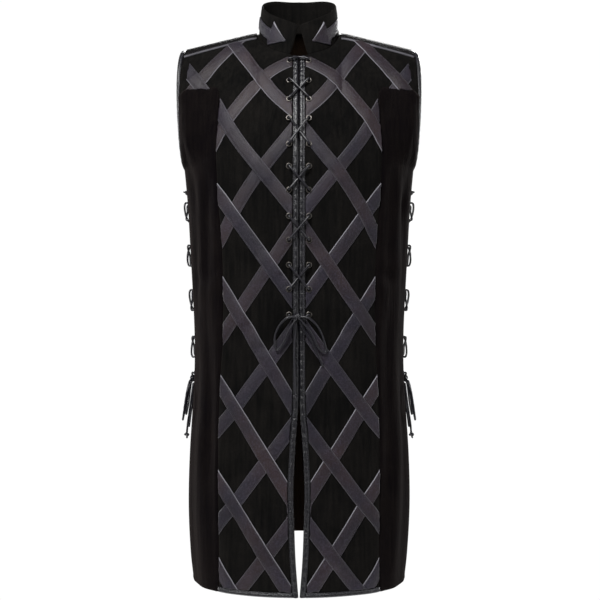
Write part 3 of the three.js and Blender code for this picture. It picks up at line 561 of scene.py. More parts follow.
sides = ((-1, "left"), (1, "right"))
yoke_foot = -128  # the yoke's suede reaches on to the armhole above this height
for side, label in sides:
    us = np.concatenate([np.linspace(lap_end - 0.012, 0.5, 62), np.linspace(0.5, 1, 44)[1:]])
    heights = np.concatenate([
        np.linspace(hem_line + 4, armpit, 150), np.linspace(armpit, yoke_foot, 24)[1:],
        np.linspace(yoke_foot, yoke_line, 9)[1:], np.linspace(yoke_line, -0.6, 30)[1:]])
    u, height = np.meshgrid(us, heights)
    point, normal = front_skin(side, u, height)
    seam = 1.6 * np.exp(-((u - 0.5) * ring_span / 4.0) ** 2) * (height < -125)
    under_yoke = 1.2 * smooth(0.49, 0.52, u) * (1 - smooth(-2, 4, height - arch(u)))
    outer = point - normal * (seam + under_yoke)[..., None]
    keep = (u[:-1, 1:] <= 0.5) | (height[:-1, 1:] >= yoke_foot)
    sewn_panel(f"front_panel_{label}", outer, normal, black_suede, f"front_{label}",
               keep)


# ---- Side fronts and back: plain suede ----
# Brown-black suede, plainer and a little shinier than the fronts. Each side front is sewn to the
# lattice panel, its arched top laid over the yoke; the back is one piece with a raised hem.
for side, label in sides:
    us, rows = np.linspace(0.5, 1, 46), np.linspace(0, 1, 216)
    u, share = np.meshgrid(us, rows)
    height = lerp(hem_line, arch(u), share)
    point, normal = front_skin(side, u, height)
    rolled = 2.3 * smooth(-34, -6, height - arch(u)) - 2.0 * smooth(-2.5, 0, height - arch(u))
    seam = 1.8 * np.exp(-((u - 0.5) * ring_span / 3.6) ** 2) * (1 - smooth(-34, -12, height - arch(u)))
    outer = point + normal * (rolled - seam + hem_bead(height))[..., None]
    sewn_panel(f"plain_side_front_{label}", outer, normal, brown_black_suede,
               f"side_front_{label}")

half_us = np.concatenate([np.linspace(0, 0.9, 62), np.linspace(0.9, 1, 12)[1:]])
us = np.concatenate([-half_us[:0:-1], half_us])
heights = np.concatenate([np.linspace(hem_line, armpit, 150), np.linspace(armpit, yoke_line, 34)[1:],
                          np.linspace(yoke_line, -0.6, 30)[1:]])
u, height = np.meshgrid(us, heights)
left, right = back_skin(-1, np.abs(u), height), back_skin(1, np.abs(u), height)
point = np.where((u < 0)[..., None], left[0], right[0])
normal = np.where((u < 0)[..., None], left[1], right[1])
sewn_panel("back_panel", point + normal * hem_bead(height)[..., None], normal, brown_black_suede,
           "back")


# ---- Lattice strips ----
# Straps of waxed leather, 24 mm wide and a little domed, cut from hides of slightly different
# browns and purples. They are glued and stitched flat on the suede; at each crossing one rides
# over the other, and their raw cut edges show as thin pale lines.
lattice_strips = [
    # name, falls towards the centre, how pale its upper and lower cut edges are, tone from
    # purple (0) to brown (1), centre line as distance from the centre and height
    ("inward_1", True, 0.1, 0.9, 0.7, [(116, -11), (66, -83), (39, -117), (10, -144)]),
    ("inward_2_top", True, 0.1, 0.5, 0.2, [(205, -58), (178, -94)]),
    ("inward_2", True, 0.3, 0.25, 0.35, [(149, -127), (111, -193), (68, -248), (10, -320)]),
    ("inward_3", True, 0.9, 0.1, 0.1, [(146, -288), (10, -478)]),
    ("inward_4", True, 0.75, 0.1, 0.3, [(138, -455), (10, -668)]),
    ("inward_5", True, 1.0, 0.1, 0.5, [(143, -630), (10, -838)]),
    ("inward_6", True, 0.9, 0.1, 0.4, [(145, -802), (10, -1010)]),
    ("inward_7", True, 0.9, 0.1, 0.2, [(145, -960), (110, -1012)]),
    ("outward_0", False, 0.1, 0.9, 0.8, [(134, -22), (165, -58), (192, -94)]),
    ("outward_1", False, 0.1, 0.8, 0.9,
     [(10, -43), (55, -70), (100, -120), (140, -176), (149, -194)]),
    ("outward_2", False, 0.15, 0.2, 0.5, [(10, -179), (92, -284), (141, -373)]),
    ("outward_3", False, 0.15, 0.2, 0.6, [(10, -356), (138, -545)]),
    ("outward_4", False, 0.15, 0.2, 0.3, [(10, -531), (145, -715)]),
    ("outward_5", False, 0.15, 0.2, 0.15, [(10, -701), (145, -883)]),
    ("outward_6", False, 0.15, 0.2, 0.45, [(10, -868), (101, -990)]),
]

# Across a strip: distance from its middle and height of its outer face. The cut edge is
# bevelled, the stitching pulls a groove, and the middle is a little proud.
strip_profile = [(-12.0, 0.35), (-11.2, 1.15), (-10.4, 1.35), (-9.3, 1.0), (-8.2, 1.4), (-4.5, 1.65),
                 (0.0, 1.7), (4.5, 1.65), (8.2, 1.4), (9.3, 1.0), (10.4, 1.35), (11.2, 1.15),
                 (12.0, 0.35)]


def solve_front(x, z):
    """Surface coordinates of the front at a distance from the centre and a real height."""
    x, z = np.asarray(x, float), np.asarray(z, float)
    u, v = np.clip(x / ring_span, 0.02, 0.98), np.minimum(z, -20.0)
    for _ in range(24):
        here = front_point(u, v)
        miss_x, miss_z = x - here[..., 0], z - here[..., 2]
        du, dv = np.where(u > 0.9, -0.004, 0.004), np.where(v > -10, -1.0, 1.0)
        sideways = (front_point(u + du, v) - here) / du[..., None]
        upwards = (front_point(u, v + dv) - here) / dv[..., None]
        area = sideways[..., 0] * upwards[..., 2] - upwards[..., 0] * sideways[..., 2]
        step_u = (miss_x * upwards[..., 2] - upwards[..., 0] * miss_z) / area
        step_v = (sideways[..., 0] * miss_z - miss_x * sideways[..., 2]) / area
        u = np.clip(u + np.clip(step_u, -0.1, 0.1), 0, 1)
        v = np.clip(v + np.clip(step_v, -60, 60), hem_line, 0)
    return u, v


def resampled(line, step):
    """A line's points at even distances of about step, and those distances."""
    line = np.asarray(line, float)
    lengths = np.concatenate([[0], np.linalg.norm(np.diff(line, axis=0), axis=1).cumsum()])
    goal = np.linspace(0, lengths[-1], max(int(round(lengths[-1] / step)), 1) + 1)
    return np.stack([np.interp(goal, lengths, column) for column in line.T], axis=1), goal


def spline(controls, samples=24):
    """A smooth line through points, with straight ends."""
    controls = np.asarray(controls, float)
    p = np.vstack([controls[:1], controls, controls[-1:]])
    t = np.linspace(0, 1, samples, endpoint=False)[:, None]
    runs = []
    for a, b, c, d in zip(p[:-3], p[1:-2], p[2:-1], p[3:]):
        m, n = (c - a) / 2, (d - b) / 2
        runs.append((2 * b - 2 * c + m + n) * t ** 3 + (3 * c - 3 * b - 2 * m - n) * t ** 2 + m * t + b)
    return np.vstack(runs + [controls[-1:]])


def laid_line(line):
    """A strip on the right front, run past both ends of its centre line: flat places, distances
    along the leather, and the surface coordinates of all its points."""
    line, overrun = np.asarray(line, float), 45
    first, last = line[0] - line[1], line[-1] - line[-2]
    first, last = (overrun * end / np.linalg.norm(end) for end in (first, last))
    path, _ = resampled(spline(np.vstack([line[0] + first, line, line[-1] + last])), 2.5)
    x, z = np.maximum(path[:, 0], 0.5), np.clip(path[:, 1], hem_line + 1, 24)
    u, v = solve_front(x, z)
    point, normal = front_skin(1, u, v)
    point[:, 0] += path[:, 0] - x
    point[:, 2] += path[:, 1] - z
    gaps = np.maximum(np.linalg.norm(np.diff(point, axis=0), axis=1), 0.5)
    distances = np.concatenate([[0], gaps.cumsum()])
    ahead = np.minimum(np.arange(len(path)) + 1, len(path) - 1)
    across = np.cross(point[ahead] - point[np.maximum(np.arange(len(path)) - 1, 0)], normal)
    across /= np.linalg.norm(across, axis=1, keepdims=True)
    offsets = np.array([offset for offset, _ in strip_profile])
    place = point[:, None, :] + across[:, None, :] * offsets[None, :, None]
    is_off = (place[..., 0] < 0.5) | (place[..., 2] < hem_line + 1)
    u, v = solve_front(np.maximum(place[..., 0], 0.5), np.clip(place[..., 2], hem_line + 1, 24))
    # The upper cut edge is the one whose line runs higher.
    first_is_upper = place[:, 0, 2].mean() > point[:, 2].mean()
    return {"path": path, "distances": distances, "u": u, "v": v, "is_off": is_off,
            "first_is_upper": first_is_upper}


def crossings(path, distances, others):
    """Distances along a strip at which strips of the other direction cross it."""
    found = []
    for other in others:
        a, b = np.diff(path, axis=0)[:, None], np.diff(other, axis=0)[None, :]
        between = other[None, :-1] - path[:-1, None]
        area = a[..., 0] * b[..., 1] - a[..., 1] * b[..., 0]
        s = (between[..., 0] * b[..., 1] - between[..., 1] * b[..., 0]) / area
        t = (between[..., 0] * a[..., 1] - between[..., 1] * a[..., 0]) / area
        for i, j in zip(*np.nonzero((s >= 0) & (s < 1) & (t >= 0) & (t < 1))):
            found.append(lerp(distances[i], distances[i + 1], s[i, j]))
    return found


def longest_run(inside):
    """First and last index of the longest stretch of True."""
    best, start = (0, 0), -1
    for k, is_in in enumerate(inside):
        start = k if is_in and start < 0 else start
        if is_in and k - start > best[1] - best[0]:
            best = (start, k)
        start = start if is_in else -1
    return best


def waxed_leather(name, purple, brown, light, roughness, grain_mm, gloss_level):
    """Corrected-grain leather under wax: fine cells, soft scuffs, an even low gloss. Its raw cut
    edges, marked by the attribute 'cut', are paler than its face."""
    material, tree = new_material(name)
    place = add_node(tree, "ShaderNodeTexCoord")
    tone = add_node(tree, "ShaderNodeAttribute", attribute_name="tone")
    cut = add_node(tree, "ShaderNodeAttribute", attribute_name="cut")
    cloud = add_node(tree, "ShaderNodeTexNoise", {
        "Vector": place.outputs["Object"], "Scale": 11.0, "Detail": 3.0, "Roughness": 0.6,
        "Distortion": 0.4})
    scuff = add_node(tree, "ShaderNodeTexNoise", {
        "Vector": place.outputs["Object"], "Scale": 380.0, "Detail": 5.0, "Roughness": 0.75})
    # Pores are 0.3 mm apart; the cells are drawn coarser, at the spacing of the creases.
    cells = add_node(tree, "ShaderNodeTexVoronoi", {
        "Vector": place.outputs["Object"], "Scale": 1000 / grain_mm, "Randomness": 1.0},
        feature="DISTANCE_TO_EDGE")
    drift = add_node(tree, "ShaderNodeMapRange", {
        "Value": cloud.outputs["Fac"], "From Min": 0.3, "From Max": 0.7,
        "To Min": -0.55, "To Max": 0.55})
    shifted = add_node(tree, "ShaderNodeMath", {0: tone.outputs["Fac"], 1: drift.outputs["Result"]},
                       operation="ADD", use_clamp=True)
    hide = add_node(tree, "ShaderNodeMix", {
        "Factor": shifted.outputs["Value"], 6: linear(purple), 7: linear(brown)}, data_type="RGBA")
    worn = add_node(tree, "ShaderNodeMapRange", {
        "Value": scuff.outputs["Fac"], "From Min": 0.48, "From Max": 0.7, "To Max": 0.8})
    scuffed = add_node(tree, "ShaderNodeMix", {
        "Factor": worn.outputs["Result"], 6: hide.outputs[2], 7: linear(light)}, data_type="RGBA")
    ragged = add_node(tree, "ShaderNodeMapRange", {
        "Value": cloud.outputs["Fac"], "From Min": 0.25, "From Max": 0.6,
        "To Min": 0.35, "To Max": 1.0})
    paleness = add_node(tree, "ShaderNodeMath", {0: cut.outputs["Fac"], 1: ragged.outputs["Result"]},
                        operation="MULTIPLY", use_clamp=True)
    patchy = add_node(tree, "ShaderNodeMapRange", {
        "Value": cloud.outputs["Color"], "From Min": 0.32, "From Max": 0.68,
        "To Min": 0.62, "To Max": 1.3})
    uneven = add_node(tree, "ShaderNodeVectorMath", {
        0: scuffed.outputs[2], "Scale": patchy.outputs["Result"]}, operation="SCALE")
    finished = add_node(tree, "ShaderNodeMix", {
        "Factor": paleness.outputs["Value"], 6: uneven.outputs["Vector"], 7: linear("#5c5b60")},
        data_type="RGBA")
    gloss = add_node(tree, "ShaderNodeMapRange", {
        "Value": scuff.outputs["Fac"], "From Min": 0.3, "From Max": 0.75,
        "To Min": roughness - 0.08, "To Max": roughness + 0.2})
    creases = add_node(tree, "ShaderNodeMapRange", {
        "Value": cells.outputs["Distance"], "From Max": 0.22})
    surface = add_node(tree, "ShaderNodeMath", {
        0: creases.outputs["Result"], 1: scuff.outputs["Fac"]}, operation="ADD")
    bump = add_node(tree, "ShaderNodeBump", {
        "Height": surface.outputs["Value"], "Strength": 0.5, "Distance": 0.0003})
    shader = add_node(tree, "ShaderNodeBsdfPrincipled", {
        "Base Color": finished.outputs[2], "Roughness": gloss.outputs["Result"],
        "Normal": bump.outputs["Normal"], "Specular IOR Level": gloss_level})
    add_node(tree, "ShaderNodeOutputMaterial", {"Surface": shader.outputs["BSDF"]})
    return material


strip_leather = waxed_leather("waxed_strip_leather", "#100e15", "#191112", "#2a2630", 0.42, 1.7, 0.13)
seam_lines = {}  # by piece: its lines of stitching, each as points and their normals


def strap_piece(name, outer, inner, material, node, tone, edge_cuts=(0.0, 0.0),
                wrap=False):
    """A strap or binding between two grids of points. edge_cuts says how much of the pale raw
    edge shows along its first and its last long edge."""
    verts, faces, _, used = shell(outer, inner, wrap=wrap)
    cut = np.zeros(outer.shape[:2])
    cut[:, :2], cut[:, -2:] = edge_cuts
    marks = np.concatenate([cut.ravel(), cut.ravel()])[used]
    return add_piece(name, verts, faces, [material], [node], grid_uv(outer, used),
                     attributes={"cut": marks, "tone": np.full(len(verts), tone)})


def strip_piece(side, label, strip, laid, others):
    name, inward, upper_cut, lower_cut, tone, _ = strip
    path, distances = laid["path"], laid["distances"]
    top = yoke_line - 6 if name in ("inward_2_top", "outward_0") else hem_line + 9.5
    outer_limit = np.where(laid["v"] > yoke_line - 8, 0.9, 0.496)
    inside = (~laid["is_off"] & (laid["u"] > lap_end + 0.001) & (laid["u"] < outer_limit)
              & (laid["v"] > top) & (laid["v"] < -11))
    spans = [[distances[k] for k in longest_run(line)] for line in inside.T]
    count = max(int(max(end - start for start, end in spans) / 3.2), 4)
    share = np.linspace(0, 1, count + 1)[:, None]
    starts, ends = np.array(spans).T
    at = lerp(starts[None, :], ends[None, :], share)
    u, v = (np.stack([np.interp(column, distances, line) for column, line in zip(at.T, laid[key].T)],
                     axis=1) for key in ("u", "v"))
    surface, out = front_skin(side, u, v)
    lift = np.zeros_like(at)
    if inward == (side < 0):
        for bump in crossings(path, distances, others):
            lift = np.maximum(lift, 1 - smooth(17, 27, np.abs(at - bump)))
    ripple = 0.12 * np.sin(at / 7.0 + 5 * tone) * np.sin(at / 17.0 + side)
    base = 0.25 + 1.35 * lift
    heights = np.array([h for _, h in strip_profile])[None, :]
    outer = surface + out * (base + heights + ripple)[..., None]
    inner = surface + out * (base - 0.05)[..., None]
    edge_cuts = (upper_cut, lower_cut) if laid["first_is_upper"] else (lower_cut, upper_cut)
    piece = strap_piece(f"lattice_{label}_{name}", outer, inner, strip_leather,
                        f"strip_{label}_{name}", tone, [max(cut, 0.22) for cut in edge_cuts])
    seam_lines[piece.name] = [(outer[:, j], out[:, j]) for j in (3, len(strip_profile) - 4)]


laid_lines = [laid_line(strip[-1]) for strip in lattice_strips]
for side, label in sides:
    for strip, laid in zip(lattice_strips, laid_lines):
        others = [other["path"] for each, other in zip(lattice_strips, laid_lines)
                  if each[1] != strip[1]]
        strip_piece(side, label, strip, laid, others)


# ---- Front edge, hem and armhole bindings ----
# Strips of smooth black leather folded over the raw edges and stitched through: a rounded roll
# about 10 mm wide that puckers between its stitches and shines where it turns.
def binding_piece(name, surface, out, rises, inner_depth, node, wrap=False):
    """A rolled binding over a grid of surface points; rises is its height at each point."""
    return strap_piece(name, surface + out * rises[..., None], surface - out * inner_depth,
                       binding_leather, node, 0.15, wrap=wrap)


# Across a binding, from its folded edge to its stitched one: share of its width, height in mm
# and how much it puckers.
roll_shares = np.array([0, 0.05, 0.13, 0.25, 0.42, 0.58, 0.68, 0.74, 0.8, 0.88, 0.96, 1.0])
roll_rises = np.array([-0.9, 0.7, 1.7, 2.35, 2.6, 2.35, 1.95, 1.45, 1.75, 1.8, 1.5, 0.3])
roll_give = np.exp(-((roll_shares - 0.45) / 0.3) ** 2)
stitched_at = 7  # the column of the stitching's groove


def puckers(distance, size, seed):
    """Small uneven creases across a binding, drawn in by each stitch and by the lacing."""
    wander = np.sin(distance / 23.0 + seed) + 0.6 * np.sin(distance / 61.0 + 2 * seed)
    fine = np.sin(distance * 2 * math.pi / 5.4 + 1.4 * wander)
    coarse = np.sin(distance * 2 * math.pi / 15.0 + 2.2 * wander + seed)
    return size * (0.6 * fine * (0.65 + 0.35 * wander) + 0.7 * coarse)


binding_leather = waxed_leather(
    "smooth_binding_leather", "#060609", "#08070a", "#131218", 0.27, 2.3, 0.26)

for side, label in sides:
    heights = np.concatenate([np.arange(hem_line + 1, armpit, 1.9), np.arange(armpit, -1, 1.9)])
    u, height = np.meshgrid(roll_shares * lap_end, heights)
    surface, out = front_skin(side, u, height)
    seed = 0.4 if side < 0 else 2.1
    pull = lerp(0.85, 0.55, smooth(-540, -490, height))  # more below the bow
    rises = roll_rises[None, :] + puckers(height, pull, seed) * roll_give[None, :]
    piece = binding_piece(f"front_edge_binding_{label}", surface, out, rises, suede_thick + 0.3,
                          f"front_binding_{label}")
    seam_lines[piece.name] = [((surface + out * rises[..., None])[:, stitched_at], out[:, stitched_at])]

    # The hem's binding runs under the lattice panel only, from the front edge to the side seam.
    us = np.linspace(lap_end, 0.499, 80)
    u, share = np.meshgrid(us, roll_shares)
    hem_width = 9.5
    height = hem_line + share * hem_width
    surface, out = front_skin(side, u, height)
    rises = roll_rises[:, None] + puckers(u * ring_span, 0.45, seed) * roll_give[:, None]
    piece = binding_piece(f"hem_binding_{label}", surface, out, rises, suede_thick + 0.3,
                          f"front_binding_{label}")
    seam_lines[piece.name] = [((surface + out * rises[..., None])[k], out[k]) for k in (3, stitched_at)]

    # Round the armhole: up the front edge, over the shoulder's tip and down the back edge.
    ups = np.concatenate([np.arange(armpit, yoke_line, 3.2), np.arange(yoke_line, -4, 3.2)])
    front_edge, back_edge = front_skin(side, 1.0, ups), back_skin(side, 1.0, ups)
    flip = np.array([side, 1, 1])
    inner_front, inner_back = front_point(0.97, ups) * flip, back_point(0.97, ups) * flip
    edge = np.concatenate([front_edge[0], back_edge[0][::-1]])
    out = np.concatenate([front_edge[1], back_edge[1][::-1]])
    inner = np.concatenate([inner_front, inner_back[::-1]])
    along = np.roll(edge, -1, axis=0) - np.roll(edge, 1, axis=0)
    outward = np.cross(along, out)
    outward /= np.linalg.norm(outward, axis=1, keepdims=True)
    outward[np.einsum("ij,ij->i", outward, edge - inner) < 0] *= -1
    reach = 0.4 + 8.4 * (1 - roll_shares)
    surface = edge[:, None, :] + outward[:, None, :] * reach[None, :, None]
    out = np.broadcast_to(out[:, None, :], surface.shape)
    distance = np.linalg.norm(np.diff(edge, axis=0, prepend=edge[:1]), axis=1).cumsum()[:, None]
    rises = roll_rises[None, :] * 0.9 + puckers(distance, 0.22, seed) * roll_give[None, :]
    piece = binding_piece(f"armhole_edge_binding_{label}", surface, out, rises, suede_thick,
                          f"armhole_binding_{label}", wrap=True)
    seam_lines[piece.name] = [((surface + out * rises[..., None])[:, stitched_at], out[:, stitched_at])]


# ---- Shoulder strips ----
# A leather strap sewn over each shoulder seam, from the collar to the armhole, wider at the tip.
# Its front cut edge is the palest line on the garment.
# Across a strap, from its front edge (-1) over the seam (0) to its back edge (1): place, height.
shoulder_profile = [(-1, 0.2), (-0.98, 2.7), (-0.95, 2.9), (-0.91, 2.6), (-0.86, 2.9), (-0.6, 3.0),
                    (-0.3, 2.6), (0, 1.65), (0.3, 1.6), (0.68, 1.4), (0.78, 1.05), (0.86, 1.35),
                    (0.93, 1.1), (1, 0.3)]
seam_at_top = float(seam_shares[-1])
strap_leather = waxed_leather("dull_strap_leather", "#060506", "#080706", "#0e0d0e", 0.65, 1.7, 0.03)
collar_gap, back_width = 0.025, 14.0  # bare share beside the collar; mm behind the ridge
for side, label in sides:
    shares = np.linspace(neck_share + collar_gap, 0.985, 56)
    front_us = np.where(shares < seam_at_top, 0.5 * shares / seam_at_top,
                        0.5 + 0.5 * (shares - seam_at_top) / (1 - seam_at_top))
    ridge = top_edge(front_face, shares) * np.array([side, 1, 1])
    # The front edge lies a set fall below the ridge, the back edge a set width behind it.
    front_edge = ridge[:, 2] - lerp(18.0, 22.0, (shares - shares[0]) / (shares[-1] - shares[0]))
    front_reach = bisect(-75, 0, lambda h: front_skin(side, front_us, h)[0][:, 2] < front_edge, shares)
    surface, out = [], []
    for way, _ in shoulder_profile:
        ahead = front_skin(side, front_us, abs(way) * front_reach - 0.4)
        behind = back_skin(side, shares, np.full(len(shares), -abs(way) * back_width - 0.4))
        point, normal = ahead if way < 0 else behind
        if way == 0:
            point, normal = ridge, ahead[1] + behind[1]
            normal = normal / np.linalg.norm(normal, axis=1, keepdims=True)
        surface.append(point)
        out.append(normal)
    surface, out = np.stack(surface, axis=1), np.stack(out, axis=1)
    heights = np.array([h for _, h in shoulder_profile])
    outer = surface + out * (0.5 + heights)[None, :, None]
    piece = strap_piece(f"shoulder_strap_{label}", outer, surface + out * 0.2, strap_leather,
                        f"shoulder_strip_{label}", 0.55, (0.75, 0.3))
    seam_lines[piece.name] = [(outer[:, j], out[:, j]) for j in (3, 10)]


# ---- Stand collar and its arrow straps ----
# Two layers of black suede, 3 mm together, turned in at the top and open in front, where the
# corners meet above a dark notch. A leather strap runs round each side and ends in an arrow.
def collar_point(turn, share):
    ahead = np.cos(np.radians(turn))
    reach, lean = np.where(ahead > 0, 75.0, 62.0), np.where(ahead > 0, 13.0, 3.0)
    base = read(collar_rows, "turn", "base", turn) + seam_gap
    top = read(collar_rows, "turn", "top", turn)
    return points((neck_half_width - 5 * share) * np.sin(np.radians(turn)),
                  -(reach - lean * share) * ahead, lerp(base, top, share))


def collar_skin(side, turn, share):
    turn, share = np.broadcast_arrays(np.asarray(turn, float), np.asarray(share, float))
    along = collar_point(turn + 1, share) - collar_point(turn - 1, share)
    normal = np.cross(along, collar_point(turn, share + 0.05) - collar_point(turn, share - 0.05))
    normal /= np.linalg.norm(normal, axis=-1, keepdims=True)
    flip = np.array([side, 1, 1])
    return collar_point(turn, share) * flip, normal * flip


share, step = np.meshgrid(np.concatenate([[-0.03, 0.03], np.linspace(0.08, 0.9, 14), [0.95, 0.98, 1]]),
                          np.linspace(0, 1, 70), indexing="ij")
opening = lerp(13.0, 1.1, np.clip(share, 0, 1) ** 0.8)
turn = lerp(opening, 180.0, step)
left, right = collar_skin(-1, turn, share), collar_skin(1, turn, share)
point = np.concatenate([left[0], right[0][:, -2::-1]], axis=1)
normal = np.concatenate([left[1], right[1][:, -2::-1]], axis=1)
share_all = np.concatenate([share, share[:, -2::-1]], axis=1)
turn_all = np.concatenate([turn, turn[:, -2::-1]], axis=1)
rolled = 1.3 * smooth(0.93, 1.0, share_all) ** 2
from_edge = (turn_all - np.concatenate([opening, opening[:, -2::-1]], axis=1)) * 1.3
rolled = rolled + 1.2 * (1 - smooth(0, 2.4, from_edge))
stitch_dip = 0.35 * np.exp(-((share_all - 0.9) / 0.025) ** 2)
bulge = (0.8 * np.sin(np.radians(turn_all) * 5 + 0.7) * np.sin(share_all * math.pi)
         + 0.9 * np.exp(-((turn_all - 118 - 20 * share_all) / 14) ** 2))
outer = point + normal * (bulge - rolled - stitch_dip)[..., None]
inner = point - normal * (3.0 - rolled + 0.3 * stitch_dip)[..., None]
verts, faces, _, used = shell(outer, inner)
collar = add_piece("stand_collar", verts, faces, [black_suede], ["collar"],
                   grid_uv(outer, used))

arrow_rows = [
    # turn and share of the height at the strap's upper edge, and at its lower edge
    ((88, 0.62), (88, 0.2)),
    ((76, 0.61), (77, 0.2)),
    ((64, 0.6), (68, 0.2)),
    ((53, 0.58), (59, 0.2)),
    ((43.5, 0.57), (51, 0.21)),
    ((39, 0.82), (50, 0.04)),
    ((34, 0.7), (42, 0.13)),
    ((29, 0.59), (34, 0.21)),
    ((24, 0.47), (26, 0.29)),
    ((19, 0.37), (19.5, 0.34)),
]
arrow_profile = [(0, 0.3), (0.05, 1.1), (0.1, 1.3), (0.17, 1.05), (0.26, 1.4), (0.5, 1.55),
                 (0.74, 1.4), (0.83, 1.05), (0.9, 1.3), (0.95, 1.1), (1, 0.3)]
for side, label in sides:
    table = np.array([[*upper, *lower] for upper, lower in arrow_rows])
    stages = np.concatenate([np.linspace(k, k + 1, 5)[:-1] for k in range(len(table) - 1)]
                            + [[len(table) - 1.0]])
    table = np.stack([np.interp(stages, np.arange(len(table)), column) for column in table.T], axis=1)
    across = np.array([place for place, _ in arrow_profile])[None, :]
    turn = lerp(table[:, :1], table[:, 2:3], across)
    share = lerp(table[:, 1:2], table[:, 3:4], across)
    surface, out = collar_skin(side, turn, share)
    heights = np.array([h for _, h in arrow_profile])[None, :]
    pinch = 1 - 0.6 * smooth(8.2, 9.0, stages)[:, None]
    outer = surface + out * (1.0 + heights * pinch)[..., None]
    head = smooth(4.5, 5.0, stages)
    piece = strap_piece(f"arrow_strap_{label}", outer, surface + out * 0.5, strip_leather,
                        f"collar_strap_{label}", 0.1, ((0.1 + 0.9 * head)[:, None], 0.15))
    seam_lines[piece.name] = [(outer[2:-3, j], out[2:-3, j]) for j in (3, 7)]


# ---- Stitching ----
# Waxed thread, 0.8 mm thick, through every strip, strap and binding: one stitch, about 3 mm
# long, is repeated every 4 to 5 mm along each line of sewing.
def repeated(name, place_points, normals, tangents, build_item, sizes, material):
    """Repeats an item at points, its X along the tangent and Z along the normal, by Geometry
    Nodes. build_item makes it from the tree's named inputs; the result is baked."""
    tangents = tangents - normals * np.einsum("ij,ij->i", tangents, normals)[:, None]
    tangents /= np.linalg.norm(tangents, axis=1, keepdims=True)
    third = np.cross(normals, tangents)
    aims = [Matrix(np.stack([x, y, z], axis=1).tolist()).to_euler("XYZ")[:]
            for x, y, z in zip(tangents, third, normals)]
    mesh = bpy.data.meshes.new(name)
    mesh.from_pydata((np.asarray(place_points) / 1000).tolist(), [], [])
    aim = mesh.attributes.new("aim", "FLOAT_VECTOR", "POINT")
    aim.data.foreach_set("vector", np.asarray(aims, np.float32).ravel())
    holder = bpy.data.objects.new(name, mesh)
    bpy.context.scene.collection.objects.link(holder)

    tree = bpy.data.node_groups.new(f"{name}_repeat", "GeometryNodeTree")
    tree.interface.new_socket("Geometry", in_out="INPUT", socket_type="NodeSocketGeometry")
    for label, value in sizes.items():
        socket = tree.interface.new_socket(label, in_out="INPUT", socket_type="NodeSocketFloat")
        socket.default_value = value
    tree.interface.new_socket("Geometry", in_out="OUTPUT", socket_type="NodeSocketGeometry")
    given = add_node(tree, "NodeGroupInput")
    item = build_item(tree, given)
    aimed = add_node(tree, "GeometryNodeInputNamedAttribute", {"Name": "aim"}, data_type="FLOAT_VECTOR")
    placed = add_node(tree, "GeometryNodeInstanceOnPoints", {
        "Points": given.outputs["Geometry"], "Instance": item,
        "Rotation": aimed.outputs["Attribute"]})
    real = add_node(tree, "GeometryNodeRealizeInstances", {"Geometry": placed.outputs["Instances"]})
    painted = add_node(tree, "GeometryNodeSetMaterial", {
        "Geometry": real.outputs["Geometry"], "Material": material})
    add_node(tree, "NodeGroupOutput", {"Geometry": painted.outputs["Geometry"]})
    modifier = holder.modifiers.new("repeat", "NODES")
    modifier.node_group = tree
    for socket in tree.interface.items_tree:
        if socket.in_out == "INPUT" and socket.name in sizes:
            modifier[socket.identifier] = sizes[socket.name]
    bpy.context.view_layer.update()
    seen = holder.evaluated_get(bpy.context.evaluated_depsgraph_get())
    baked = bpy.data.meshes.new_from_object(seen)
    baked.name = name
    holder.modifiers.clear()
    holder.data = baked
    baked.shade_smooth()
    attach(holder, "root")


def stitch_item(tree, given):
    bead = add_node(tree, "GeometryNodeMeshUVSphere", {"Segments": 6, "Rings": 4, "Radius": 0.5})
    size = add_node(tree, "ShaderNodeCombineXYZ", {
        "X": given.outputs["Stitch length"], "Y": given.outputs["Thread width"],
        "Z": given.outputs["Thread rise"]})
    return add_node(tree, "GeometryNodeTransform", {
        "Geometry": bead.outputs["Mesh"], "Scale": size.outputs["Vector"]}).outputs["Geometry"]


def waxed_thread(name, colour):
    """Waxed polyester thread, twisted: a dull colour with a small soft highlight."""
    material, tree = new_material(name)
    place = add_node(tree, "ShaderNodeTexCoord")
    twist = add_node(tree, "ShaderNodeTexWave", {
        "Vector": place.outputs["Object"], "Scale": 700.0,
        "Distortion": 2.0}, bands_direction="DIAGONAL")
    shade = add_node(tree, "ShaderNodeMapRange", {
        "Value": twist.outputs["Fac"], "To Min": 0.75, "To Max": 1.25})
    colour_out = add_node(tree, "ShaderNodeVectorMath", {
        0: linear(colour)[:3], "Scale": shade.outputs["Result"]}, operation="SCALE")
    shader = add_node(tree, "ShaderNodeBsdfPrincipled", {
        "Base Color": colour_out.outputs["Vector"], "Roughness": 0.55, "Specular IOR Level": 0.4})
    add_node(tree, "ShaderNodeOutputMaterial", {"Surface": shader.outputs["BSDF"]})
    return material


def even_stitches(lines, spacing):
    """Places, normals and tangents every few millimetres along lines of sewing."""
    found = [[], [], []]
    for line, normals in lines:
        gaps = np.linalg.norm(np.diff(line, axis=0), axis=1)
        distances = np.concatenate([[0], gaps.cumsum()])
        goal = np.arange(spacing / 2, distances[-1], spacing)
        if len(goal) == 0:
            continue
        at = lambda d, rows: np.stack([np.interp(d, distances, column) for column in rows.T], axis=1)
        place, normal = at(goal, line), at(goal, normals)
        found[0].append(place)
        found[1].append(normal / np.linalg.norm(normal, axis=1, keepdims=True))
        found[2].append(at(goal + 0.6, line) - at(goal - 0.6, line) + 1e-6)
    return [np.vstack(rows) for rows in found]


